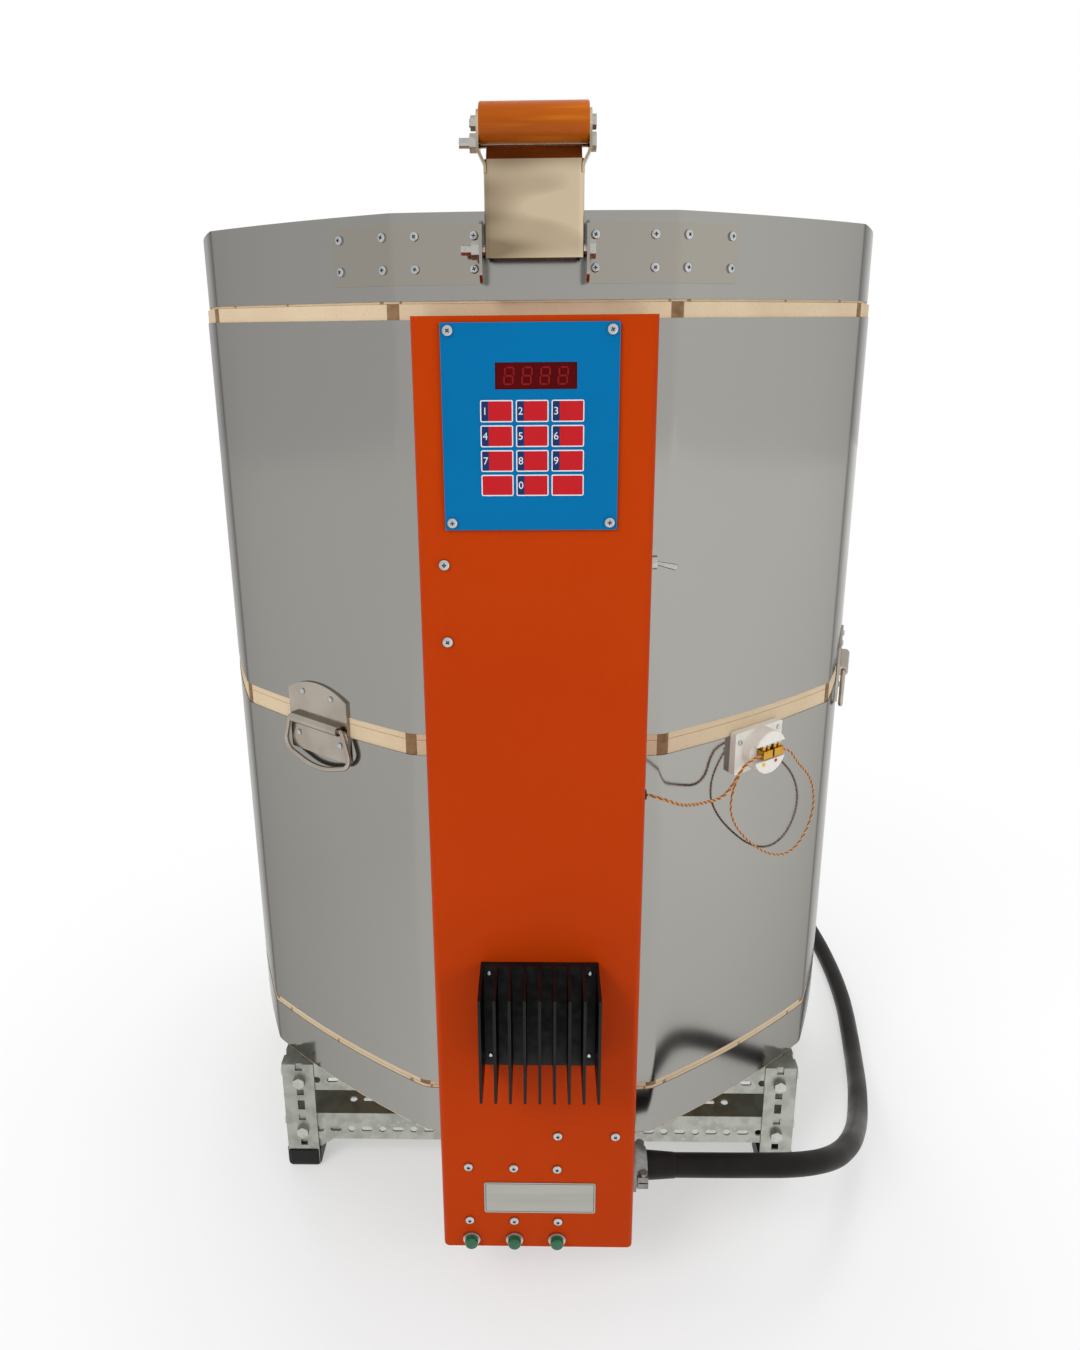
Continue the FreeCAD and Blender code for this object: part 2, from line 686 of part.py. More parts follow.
def cheek_outline():
    """The side view of a cheek: from the pivot up past the tie bolt to the grip's axle."""
    outline = slab([(channel_front, channel_foot), (channel_front, channel_top), (-GRIP_Y - 9, GRIP_Z),
                    (-GRIP_Y + 9, GRIP_Z), (tie_y + 7, tie_z), (tie_y + 4, tie_z - 16),
                    (channel_back, channel_top - 24), (channel_back, channel_foot)],
                   4 * CHANNEL_HALF, "x", -2 * CHANNEL_HALF)
    knob = rod(10.0, Vector(-2 * CHANNEL_HALF, -GRIP_Y, GRIP_Z), X, 4 * CHANNEL_HALF)
    eye = rod(7.5, Vector(-2 * CHANNEL_HALF, tie_y, tie_z), X, 4 * CHANNEL_HALF)
    return join([outline, knob, eye])


def handle_channel():
    pressed = box(-CHANNEL_HALF, CHANNEL_HALF, channel_front, channel_back, channel_foot, channel_top)
    edges = [e for e in pressed.Edges
             if e.BoundBox.ZLength > 1 and e.CenterOfMass.y < (channel_front + channel_back) / 2]
    pressed = pressed.makeFillet(5.0, edges)
    inside = CHANNEL_HALF - CHANNEL_THICKNESS
    hollow = box(-inside, inside, channel_front + CHANNEL_THICKNESS, channel_back + 1,
                 channel_foot - 1, channel_top + 1)
    edges = [e for e in hollow.Edges
             if e.BoundBox.ZLength > 1 and e.CenterOfMass.y < (channel_front + channel_back) / 2]
    pressed = pressed.cut(hollow.makeFillet(3.0, edges))
    lip = [(channel_front, channel_top), (channel_front + 9, channel_top + 10),
           (channel_front + 10.5, channel_top + 8.6),
           (channel_front + CHANNEL_THICKNESS, channel_top - 0.6)]
    lip = slab(lip, 2 * inside, "x", -inside)
    bend = channel_top - 4
    spread = bend + 11
    top = GRIP_Z + 14
    right = [(inside, bend - 6), (CHANNEL_HALF, bend - 6), (CHANNEL_HALF, bend), (cheek_outside, spread),
             (cheek_outside, top), (cheek_outside - CHANNEL_THICKNESS, top),
             (cheek_outside - CHANNEL_THICKNESS, spread + 0.8), (inside, bend + 0.8)]
    cheek = slab(right, CHANNEL_DEPTH + 30, "y", channel_front - 5)
    cheeks = [cheek, mirrored(cheek)]
    body = join([pressed] + cheeks).common(cheek_outline())
    holes = [rod(PIVOT_RADIUS + HINGE_RUNNING, Vector(-60, -PIVOT_Y, PIVOT_Z), X, 120),
             rod(3.0 + HINGE_RUNNING, Vector(-60, -GRIP_Y, GRIP_Z), X, 120),
             rod(4.0 + HINGE_RUNNING, Vector(-60, tie_y, tie_z), X, 120)]
    return join([body, lip]).cut(Part.makeCompound(holes))


save("handle_channel", handle_channel())

grip = rod(GRIP_RADIUS, Vector(-GRIP_HALF, -GRIP_Y, GRIP_Z), X, 2 * GRIP_HALF)
grip = grip.makeFillet(1.6, [e for e in grip.Edges if e.Closed])
grip = grip.cut(rod(3.0 + HINGE_RUNNING, Vector(-60, -GRIP_Y, GRIP_Z), X, 120))
save("wooden_grip", grip)

grip_bolt = rod(3.0, Vector(-cheek_outside - 5.5, -GRIP_Y, GRIP_Z), X, 2 * cheek_outside + 5.5)
grip_bolt = join([grip_bolt, hexagon(10.0, 3.5, Vector(cheek_outside, -GRIP_Y, GRIP_Z), X),
                  hexagon(10.0, 4.5, Vector(-cheek_outside - 4.5, -GRIP_Y, GRIP_Z), X)])

tie_bolt = rod(4.0, Vector(-cheek_outside - 15, tie_y, tie_z), X, 2 * cheek_outside + 15)
tie_bolt = join([tie_bolt, hexagon(13.0, 4.5, Vector(cheek_outside, tie_y, tie_z), X),
                 hexagon(13.0, 6.5, Vector(-cheek_outside - 6.5, tie_y, tie_z), X)])
save("handle_bolts", [grip_bolt, tie_bolt])


# Drop handles: a pressed plate with a rolled barrel, and a D-shaped bail that hangs from it

barrel_out = FLAT + HANDLE_THICKNESS + BARREL_BORE + 1.4
barrel_z = SEAM + BAIL_UP


def handle_plate():
    foot = SEAM + HANDLE_FOOT
    shoulder = SEAM + HANDLE_HEAD
    crown = SEAM + HANDLE_HEAD + HANDLE_CROWN
    edges = [Part.makeLine(Vector(-HANDLE_HALF, 0, foot), Vector(HANDLE_HALF, 0, foot)),
             Part.makeLine(Vector(HANDLE_HALF, 0, foot), Vector(HANDLE_HALF, 0, shoulder)),
             Part.Arc(Vector(HANDLE_HALF, 0, shoulder), Vector(0, 0, crown),
                      Vector(-HANDLE_HALF, 0, shoulder)).toShape(),
             Part.makeLine(Vector(-HANDLE_HALF, 0, shoulder), Vector(-HANDLE_HALF, 0, foot))]
    plate = Part.Face(Part.Wire(edges)).extrude(Vector(0, -FLAT - HANDLE_THICKNESS, 0))
    roll = rod(BARREL_RADIUS, Vector(-BARREL_HALF, -barrel_out, barrel_z), X, 2 * BARREL_HALF)
    back = box(-BARREL_HALF, BARREL_HALF, -barrel_out, -FLAT + 5,
               barrel_z - BARREL_RADIUS, barrel_z + BARREL_RADIUS)
    shape = join([plate, roll, back])
    shape = shape.cut(barrel(0, foot - 5, crown + 5))
    bore_start = Vector(-HANDLE_HALF - 1, -barrel_out, barrel_z)
    return shape.cut(rod(BARREL_BORE, bore_start, X, 2 * HANDLE_HALF + 2))


def bail():
    """A wire bail: two ends in the barrel, two flared legs and a bowed bottom, clear of the plate."""
    out = -barrel_out
    corner_z = barrel_z - BAIL_CORNER
    inner = BARREL_HALF - 12.0
    points = [Vector(-inner, out, barrel_z), Vector(-BAIL_HALF, out, barrel_z),
              Vector(-BAIL_FLARE, out, corner_z), Vector(0, out, barrel_z - BAIL_DROP),
              Vector(BAIL_FLARE, out, corner_z), Vector(BAIL_HALF, out, barrel_z),
              Vector(inner, out, barrel_z)]
    return swept(points, BAIL_WIRE, (4.0, 14.0, 75.0, 14.0, 4.0))


def route(points, radii):
    """Straight runs joined by tangent arcs; also gives the length of the whole."""
    edges = []
    length = 0.0
    last = points[0]
    for i in range(1, len(points) - 1):
        into = (points[i] - points[i - 1]).normalize()
        out_of = (points[i + 1] - points[i]).normalize()
        turn = into.getAngle(out_of)
        trim = radii[i - 1] * math.tan(turn / 2)
        start = points[i] - into * trim
        end = points[i] + out_of * trim
        bisector = (out_of - into).normalize()
        centre_away = radii[i - 1] / math.cos(turn / 2)
        middle = points[i] + bisector * (centre_away - radii[i - 1])
        if (start - last).Length > 0.01:
            edges.append(Part.makeLine(last, start))
            length += (start - last).Length
        edges.append(Part.Arc(start, middle, end).toShape())
        length += radii[i - 1] * turn
        last = end
    edges.append(Part.makeLine(last, points[-1]))
    length += (points[-1] - last).Length
    return Part.Wire(edges), length


def swept(points, radius, radii):
    path, length = route(points, radii)
    start = (points[1] - points[0]).normalize()
    ring = Part.Wire([Part.Circle(points[0], start, radius).toShape()])
    tube = path.makePipeShell([ring], True, False)
    expected = math.pi * radius ** 2 * length
    if abs(tube.Volume - expected) > 0.01 * expected:
        print("tube volume", round(tube.Volume), "expected", round(expected))
    return tube


def cord_radii(points):
    """Each bend of a cord is as large as its two runs allow."""
    radii = []
    for i in range(1, len(points) - 1):
        into = points[i] - points[i - 1]
        out_of = points[i + 1] - points[i]
        turn = into.getAngle(out_of)
        radii.append(0.45 * min(into.Length, out_of.Length) / math.tan(turn / 2))
    return radii


plate_shape = handle_plate()
save("handle_plates", [turned(plate_shape, t) for t in HANDLE_TURNS])
bail_shape = bail()
for node, turn in zip(("bail_front_left", "bail_right", "bail_rear_right", "bail_left"), HANDLE_TURNS):
    save(node, turned(bail_shape, turn))


def seam_screws():
    """Small screws down the middle of each band's cover strip at the back."""
    heads = []
    rows = [(FLAT, z) for z in (STAND_HEIGHT + 18, BASE_TOP - 18)]
    for foot in RING_FEET:
        rows += [(FLAT, foot + 30 + 85 * i) for i in range(5)]
    return [facet_screw(3.0, 1.6, SEAM_TURN, 0, z, out + 1.0) for out, z in rows]


def handle_rivets():
    """The plates are flat outside, so each rivet stands on the flat face."""
    heads = []
    for turn in HANDLE_TURNS:
        for along, up in RIVETS:
            place = Vector(along, -FLAT - HANDLE_THICKNESS, SEAM + up)
            heads.append(turned(screw_at(RIVET_RADIUS, RIVET_RADIUS / 2, place, "front"), turn))
    return heads


# Control box: a folded cover over a back pan that stands off the jackets

def cover_holes():
    holes = []
    front = -BOX_FRONT - 1
    depth = BOX_SHEET + 2
    for x in LAMP_X:
        holes.append(rod(LAMP_HOLE, Vector(x, front, LAMP_Z), Y, depth))
    holes.append(box(PLATE_X - PLATE_W / 2 + 5, PLATE_X + PLATE_W / 2 - 5, front, front + depth,
                     PLATE_Z + 5, PLATE_Z + PLATE_H - 5))
    holes.append(box(SINK_X - SINK_W / 2 + 9, SINK_X + SINK_W / 2 - 9, front, front + depth,
                     SINK_Z + 20, SINK_Z + SINK_H - 20))
    side = BOX_HALF - BOX_SHEET - 1
    holes.append(rod(6.1, Vector(side, -TOGGLE_Y, TOGGLE_Z), X, depth))
    holes.append(rod(GROMMET_RADIUS - 1.4, Vector(side, -GROMMET_Y, GROMMET_Z), X, depth))
    holes.append(rod(16.1, Vector(side, -CORD_Y, CORD_Z), X, depth))
    return Part.makeCompound(holes)


def box_cover():
    outside = box(-BOX_HALF, BOX_HALF, -BOX_FRONT, -PAN_FRONT, BOX_FOOT, BOX_HEAD)
    bends = [e for e in outside.Edges
             if e.BoundBox.ZLength > 100 and e.CenterOfMass.y < -BOX_FRONT + 5]
    outside = outside.makeFillet(BOX_BEND, bends)
    inside = box(-BOX_HALF + BOX_SHEET, BOX_HALF - BOX_SHEET, -BOX_FRONT + BOX_SHEET, -PAN_FRONT + 1,
                 BOX_FOOT + BOX_SHEET, BOX_HEAD - BOX_SHEET)
    bends = [e for e in inside.Edges
             if e.BoundBox.ZLength > 100 and e.CenterOfMass.y < -BOX_FRONT + 5]
    inside = inside.makeFillet(BOX_BEND - BOX_SHEET, bends)
    return outside.cut(inside).cut(cover_holes())


save("box_cover", box_cover())

pan_half = BOX_HALF - BOX_SHEET - 0.2
pan_foot = BOX_FOOT + BOX_SHEET + 0.2
pan_head = BOX_HEAD - BOX_SHEET - 0.2
pan = box(-BOX_HALF, BOX_HALF, -PAN_FRONT, -PAN_FRONT + PAN_SHEET, BOX_FOOT, BOX_HEAD)
for foot in RING_FEET:
    window = box(-32, 32, -PAN_FRONT - 1, -PAN_FRONT + PAN_SHEET + 1,
                 foot + FIRST_GROOVE - 22, foot + GROOVE_HEIGHTS[-1] + 18)
    pan = pan.cut(window)
flanges = [box(side * pan_half if side < 0 else pan_half - PAN_SHEET,
               side * pan_half + PAN_SHEET if side < 0 else pan_half,
               -PAN_FRONT - LIP, -PAN_FRONT, pan_foot, pan_head) for side in (-1, 1)]

# Spacers hold the pan off the bowed jackets.
spacers = []
for z in (BASE_TOP + 22, SEAM - 30, SEAM + 24, RIM - 30):
    for x in (-62.0, 62.0):
        blank = rod(8.0, Vector(x, -FLAT + 12, z), -Y, 12 + PAN_STANDOFF)
        spacers.append(blank.cut(barrel(0, z - 20, z + 20)))
save("box_back_pan", join([pan] + flanges + spacers))


# Controller: front plate, display, keys, circuit board and its pillars

plate_back = -BOX_FRONT
plate_x0 = PLATE_X - PLATE_W / 2
plate_top = PLATE_Z + PLATE_H
window_z = plate_top - WINDOW_DROP
window_x = PLATE_X + WINDOW_SHIFT


def controller_plate():
    plate = box(plate_x0, plate_x0 + PLATE_W, plate_back - PLATE_T, plate_back, PLATE_Z, plate_top)
    plate = plate.makeFillet(1.5, [e for e in plate.Edges if e.BoundBox.YLength > PLATE_T / 2])
    return plate.cut(box(window_x - WINDOW_W / 2, window_x + WINDOW_W / 2, plate_back - PLATE_T - 1,
                         plate_back + 1, window_z - WINDOW_H / 2, window_z + WINDOW_H / 2))


save("controller_plate", controller_plate())
window_flange = box(window_x - WINDOW_W / 2 - 3, window_x + WINDOW_W / 2 + 3, plate_back, plate_back + 6,
                    window_z - WINDOW_H / 2 - 3, window_z + WINDOW_H / 2 + 3)
window_pane = box(window_x - WINDOW_W / 2 + FIT, window_x + WINDOW_W / 2 - FIT,
                  plate_back - PLATE_T + 0.9, plate_back,
                  window_z - WINDOW_H / 2 + FIT, window_z + WINDOW_H / 2 - FIT)
save("display_window", window_flange.fuse(window_pane).removeSplitter())

keys = []
for row in range(KEY_ROWS):
    for column in range(KEY_COLUMNS):
        x = PLATE_X + KEY_SHIFT + (column - (KEY_COLUMNS - 1) / 2) * KEY_PITCH_X
        z = plate_top - KEY_DROP - row * KEY_PITCH_Z
        key = box(x - KEY_W / 2, x + KEY_W / 2, plate_back - PLATE_T - KEY_RAISE, plate_back - PLATE_T,
                  z - KEY_H / 2, z + KEY_H / 2)
        keys.append(key.makeFillet(1.5, [e for e in key.Edges if e.BoundBox.YLength > KEY_RAISE / 2]))
save("keypad", keys)

controller_screws = []
for x in (plate_x0 + PLATE_SCREW_INSET, plate_x0 + PLATE_W - PLATE_SCREW_INSET):
    for z in (PLATE_Z + PLATE_SCREW_INSET, plate_top - PLATE_SCREW_INSET):
        place = Vector(x, plate_back - PLATE_T, z)
        controller_screws.append(screw_at(PLATE_SCREW, PLATE_SCREW / 2, place, "front"))

board_y = plate_back + BOARD_BACK
board_z = PLATE_Z + (PLATE_H - BOARD_H) / 2
board_face = board_y + BOARD_T
board = box(PLATE_X - BOARD_W / 2, PLATE_X + BOARD_W / 2, board_y, board_face, board_z, board_z + BOARD_H)
relays = [box(PLATE_X - 50 + 34 * i, PLATE_X - 50 + 34 * i + 28, board_face, board_face + 16,
              board_z + 10, board_z + 26) for i in range(3)]
chips = [box(PLATE_X - 20, PLATE_X + 16, board_face, board_face + 4, board_z + 60, board_z + 72),
         rod(6.0, Vector(PLATE_X + 40, board_face, board_z + 90), Y, 18)]
terminals = box(PLATE_X - 44, PLATE_X + 44, board_face, board_face + 11, board_z + 118, board_z + 128)
pillars = [rod(3.0, Vector(PLATE_X + x, plate_back, board_z + z), Y, BOARD_BACK)
           for x in (-57.0, 57.0) for z in (6.0, BOARD_H - 6.0)]
save("controller_board", join([board] + relays + chips + [terminals] + pillars))


# Heat sink with the two solid state relays behind it

def heat_sink():
    back = -BOX_FRONT
    base = box(SINK_X - SINK_W / 2, SINK_X + SINK_W / 2, back - SINK_BASE, back, SINK_Z, SINK_Z + SINK_H)
    pitch = (SINK_W - SINK_FIN) / (SINK_FINS - 1)
    fins = []
    for i in range(SINK_FINS):
        x = SINK_X - SINK_W / 2 + i * pitch
        fins.append(box(x, x + SINK_FIN, back - SINK_DEPTH, back - SINK_BASE, SINK_Z, SINK_Z + SINK_H))
    return join([base] + fins)


save("heat_sink", heat_sink())
sink_screws = []
for side in (-1, 1):
    for z in (SINK_Z + 12, SINK_Z + SINK_H - 7):
        x = SINK_X + side * (SINK_W - SINK_FIN) * 7 / 16
        place = Vector(x, -BOX_FRONT - SINK_BASE, z)
        sink_screws.append(screw_at(SINK_SCREW, SINK_SCREW / 2, place, "front"))

relay_back = -BOX_FRONT + 27
solid_state = []
for x in (SINK_X - 22.5, SINK_X + 22.5):
    case = box(x - 20, x + 20, -BOX_FRONT, relay_back, SINK_Z + 24, SINK_Z + 82)
    recess = box(x - 21, x + 21, relay_back - 8, relay_back + 1, SINK_Z + 35, SINK_Z + 71)
    solid_state.append(case.cut(recess))
save("solid_state_relays", solid_state)


# Transformer and mains terminal block on the back pan

pan_face = -PAN_FRONT
core = box(-72, -40, pan_face - 30, pan_face, 250, 292)
winding = box(-78, -34, pan_face - 24, pan_face - 6, 256, 286)
save("control_transformer", join([core, winding]))
block = box(44, 84, pan_face - 26, pan_face, 216, 282)
for i in range(3):
    z = 222 + 21 * i
    block = block.cut(box(43, 85, pan_face - 27, pan_face - 14, z + 14, z + 17.5))
    block = block.cut(rod(4.5, Vector(55, pan_face - 27, z + 6.5), Y, 8))
    block = block.cut(rod(4.5, Vector(73, pan_face - 27, z + 6.5), Y, 8))
save("mains_terminal_block", block)


# Small pieces on the box's outside

save("lamp_rings", [rod(LAMP_RING, Vector(x, -BOX_FRONT, LAMP_Z), -Y, 2.2)
                    .fuse(rod(LAMP_LENS + 1.0, Vector(x, -BOX_FRONT - 2.2, LAMP_Z), -Y, 1.4))
                    .cut(rod(LAMP_LENS - 1.0, Vector(x, -BOX_FRONT + 1, LAMP_Z), -Y, 8)) for x in LAMP_X])
lenses = []
for x in LAMP_X:
    dome = rod(LAMP_LENS, Vector(x, -BOX_FRONT - 3.6, LAMP_Z), -Y, LAMP_PROUD - 3.6)
    dome = dome.makeFillet(2.5, [e for e in dome.Edges if e.Closed and e.CenterOfMass.y < -BOX_FRONT - 5])
    stem = rod(LAMP_LENS - 1.0 - FIT, Vector(x, -BOX_FRONT + 22, LAMP_Z), -Y, 25.6)
    lenses.append(dome.fuse(stem).removeSplitter())
save("lamp_lenses", lenses)

cover_screws = [screw_at(BOX_SCREW_RADIUS, BOX_SCREW_HEIGHT, Vector(x, -BOX_FRONT, z), "front")
                for x, z in BOX_SCREWS]
save("box_screws", cover_screws + controller_screws + sink_screws)

plate = box(NAME_X - NAME_W / 2, NAME_X + NAME_W / 2, -BOX_FRONT - NAME_T, -BOX_FRONT,
            NAME_Z - NAME_H / 2, NAME_Z + NAME_H / 2)
save("data_plate", plate.makeFillet(2.5, [e for e in plate.Edges if e.BoundBox.YLength > NAME_T / 2]))

# Toggle switch: body inside, threaded bush and nut outside, and a bat lever that tips on a trunnion
toggle_body = join([box(BOX_HALF - BOX_SHEET - 27, BOX_HALF - BOX_SHEET, -TOGGLE_Y - 7, -TOGGLE_Y + 7,
                        TOGGLE_Z - 13, TOGGLE_Z + 13),
                    rod(6.0, Vector(BOX_HALF - BOX_SHEET, -TOGGLE_Y, TOGGLE_Z), X, BOX_SHEET + 7),
                    hexagon(14.0, 2.4, Vector(BOX_HALF, -TOGGLE_Y, TOGGLE_Z), X)])
toggle_x = BOX_HALF + 4.0
socket_half = TOGGLE_TRUNNION + 2 * HINGE_RUNNING
socket = rod(TOGGLE_TRUNNION + HINGE_RUNNING, Vector(toggle_x, -TOGGLE_Y - socket_half, TOGGLE_Z), Y,
             2 * socket_half)
throat = Part.makeCone(1.6, 5.2, 6.0, Vector(toggle_x, -TOGGLE_Y, TOGGLE_Z), X)
save("toggle_body", toggle_body.cut(socket).cut(throat))
bat = Part.makeCone(TOGGLE_NECK, TOGGLE_TIP, TOGGLE_LENGTH, ORIGIN, X)
bat_rim = [e for e in bat.Edges if e.Closed and e.CenterOfMass.x > TOGGLE_LENGTH / 2]
bat = bat.makeFillet(0.7 * TOGGLE_TIP, bat_rim)
bat = join([rod(TOGGLE_TRUNNION, Vector(0, -TOGGLE_TRUNNION, 0), Y, 2 * TOGGLE_TRUNNION), bat])
bat.rotate(ORIGIN, Y, TOGGLE_TILT)
bat.translate(Vector(toggle_x, -TOGGLE_Y, TOGGLE_Z))
save("toggle_lever", bat)

# Rubber grommet for the thermocouple lead
grommet = [rod(GROMMET_RADIUS - 1.5, Vector(BOX_HALF - BOX_SHEET, -GROMMET_Y, GROMMET_Z), X, BOX_SHEET),
           rod(GROMMET_RADIUS, Vector(BOX_HALF, -GROMMET_Y, GROMMET_Z), X, 4.0),
           rod(GROMMET_RADIUS, Vector(BOX_HALF - BOX_SHEET - 2.5, -GROMMET_Y, GROMMET_Z), X, 2.5)]
grommet = join(grommet).cut(rod(LEAD_RADIUS, Vector(60, -GROMMET_Y, GROMMET_Z), X, 60))
save("lead_grommet", grommet)

# Cord connector: a screw clamp of cast metal in the box's side
gland_end = BOX_HALF + 16.0
gland = [rod(16.0, Vector(BOX_HALF - BOX_SHEET - 6, -CORD_Y, CORD_Z), X, 6 + BOX_SHEET),
         rod(25.0, Vector(BOX_HALF, -CORD_Y, CORD_Z), X, 4.0),
         Part.makeCone(22.0, 17.0, 12.0, Vector(BOX_HALF + 4, -CORD_Y, CORD_Z), X),
         box(BOX_HALF + 5, gland_end, -CORD_Y - 24, -CORD_Y + 24, CORD_Z - 7, CORD_Z + 7)]
gland = join(gland).cut(rod(CORD_RADIUS, Vector(60, -CORD_Y, CORD_Z), X, 90))
gland = gland.cut(box(BOX_HALF + 6, gland_end + 1, -CORD_Y - 25, -CORD_Y + 25, CORD_Z - 0.8, CORD_Z + 0.8))
clamp_screws = []
for y in (-19.5, 19.5):
    shank = rod(2.6, Vector(BOX_HALF + 11, -CORD_Y + y, CORD_Z - 8.5), Z, 17)
    clamp_screws.append(shank.fuse(rod(4.2, Vector(BOX_HALF + 11, -CORD_Y + y, CORD_Z + 7), Z, 3.4)))
save("cord_connector", join([gland] + clamp_screws))


# Thermocouple: ceramic tube through the wall, block outside, brass terminals, and its lead

probe_in = INNER_FLAT - PROBE_REACH
probe = rod(PROBE_RADIUS, Vector(0, -FLAT - 4, PROBE_Z), Y, FLAT + 4 - probe_in)
probe = probe.makeFillet(1.5, [e for e in probe.Edges if e.Closed and e.CenterOfMass.y > -probe_in - 1])
save("thermocouple_tube", turned(probe, PROBE_TURN))

block_out = FLAT + BLOCK_PROUD
block = box(-BLOCK_HALF - 2, BLOCK_HALF - 2, -FLAT - BLOCK_PLATE, -FLAT + 5,
            PROBE_Z - BLOCK_HEIGHT / 2, PROBE_Z + BLOCK_HEIGHT / 2)
block = block.makeFillet(2.0, [e for e in block.Edges if e.BoundBox.YLength > BLOCK_PLATE])
boss = rod(BLOCK_BOSS, Vector(-2, -FLAT, PROBE_Z), -Y, BLOCK_PROUD)
boss = boss.makeFillet(2.0, [e for e in boss.Edges if e.Closed and e.CenterOfMass.y < -FLAT - 5])
block = join([block, boss]).cut(barrel(0, PROBE_Z - 60, PROBE_Z + 60))
pocket_top = PROBE_Z + 10
pocket = box(-40, 40, -block_out - 1, -block_out + 8, PROBE_Z - 7, pocket_top)
block = block.cut(pocket).cut(rod(PROBE_RADIUS + FIT, Vector(0, -FLAT - 4.2, PROBE_Z), Y, 10))
save("thermocouple_block", turned(block, PROBE_TURN))
strips = []
for x0, x1 in ((-TERMINAL_END, -TERMINAL_GAP), (TERMINAL_GAP, TERMINAL_END)):
    strip = box(x0, x1, -block_out - 1.5, -block_out + 8, PROBE_Z - 4.5, PROBE_Z + 4)
    for x in (x0 + 3.4, x1 - 3.4):
        strip = strip.fuse(rod(2.4, Vector(x, -block_out + 2.5, PROBE_Z + 4), Z, 4.6))
    strips.append(turned(strip, PROBE_TURN))
save("thermocouple_terminals", strips)
block_screws = [turned(screw_at(2.6, 1.8, Vector(x, -FLAT - BLOCK_PLATE, PROBE_Z + z), "front"),
                       PROBE_TURN)
                for x, z in ((-30.0, 12.0), (26.0, 16.0))]
save("body_screws", body_hinge_screws + handle_rivets() + seam_screws() + block_screws)


def beside(along, out, up):
    """A point beside the thermocouple: distances along its facet, out from the axis and up from it."""
    point = polar(out, PROBE_TURN)
    aside = Vector(math.cos(math.radians(PROBE_TURN)), math.sin(math.radians(PROBE_TURN)), 0)
    return point + aside * along + Vector(0, 0, PROBE_Z + up)


def print_radii(name, points, radii, radius):
    _, length = route(points, radii)
    print(name, "length", round(length), "radii", [round(r) for r in radii], "diameter", 2 * radius)


lead_points = [Vector(BOX_HALF + 4.0, -GROMMET_Y, GROMMET_Z), Vector(BOX_HALF + 20, -424, GROMMET_Z - 5),
               Vector(BOX_HALF + 38, -412, GROMMET_Z - 18), Vector(154, -388, GROMMET_Z - 29),
               beside(-82, 400, -33), beside(-64, 398, -36), beside(-51, 399, -28), beside(-44, 402, -13),
               beside(-34, 404, -2), beside(-TERMINAL_END - 0.2, 404, 0)]
loop_points = [beside(-28, 397, -7), beside(-38, 396.5, -18), beside(-46, 396, -36), beside(-46, 395, -57),
               beside(-34, 393, -79), beside(-14, 392, -101), beside(8, 392, -120), beside(32, 392, -134),
               beside(56, 391, -139), beside(77, 389, -131), beside(91, 388, -113), beside(95, 388, -91),
               beside(88, 390, -68), beside(73, 394, -48), beside(55, 398, -33), beside(39, 402, -18),
               beside(28, 404, -5), beside(TERMINAL_END + 0.2, 404, 0)]
lead_radii = cord_radii(lead_points)
loop_radii = cord_radii(loop_points)
save("thermocouple_lead", [swept(lead_points, LEAD_RADIUS, lead_radii),
                           swept(loop_points, LOOP_RADIUS, loop_radii)])
print_radii("thermocouple lead", lead_points, lead_radii, LEAD_RADIUS)
print_radii("thermocouple loop", loop_points, loop_radii, LOOP_RADIUS)


# Stand: four angle-iron legs in rubber feet, with an upper and a lower frame of slotted angle

def hole_cutter(count, pitch, depth):
    """A row of holes along x at z = 0: a round one in the middle, then slots and round ones by turns."""
    tools = []
    for i in range(-count, count + 1):
        x = i * pitch
        reach, rise = (SLOT_HALF, SLOT_RISE) if i % 2 else (HOLE_ROUND, HOLE_ROUND)
        corner = 0.58 * rise
        flat = reach - corner
        right = [(flat, -rise), (reach, -rise + corner), (reach, rise - corner), (flat, rise)]
        outline = [(x + a, b) for a, b in right] + [(x - a, b) for a, b in reversed(right)]
        tools.append(slab(outline, depth, "y", -depth / 2))
    return Part.makeCompound(tools)


rail_y = LEG_Y - ANGLE_SHEET
rail_x = LEG_X - ANGLE_SHEET
rail_heads = (STAND_HEIGHT, LOWER_RAIL_Z + ANGLE)
bolt_heights = [head - ANGLE + HOLE_ROW for head in rail_heads]
bolt_x = LEG_X - BOLT_INSET
bolt_y = LEG_Y - BOLT_INSET


def bolt_holes():
    """Clearance for every stand bolt, through the legs and rails alike."""
    radius = BOLT_RADIUS + FIT / 2
    holes = []
    for z in bolt_heights:
        for side in (-1, 1):
            holes.append(rod(radius, Vector(side * bolt_x, -LEG_Y - 1, z), Y, 2 * LEG_Y + 2))
            holes.append(rod(radius, Vector(-LEG_X - 1, side * bolt_y, z), X, 2 * LEG_X + 2))
    return Part.makeCompound(holes)


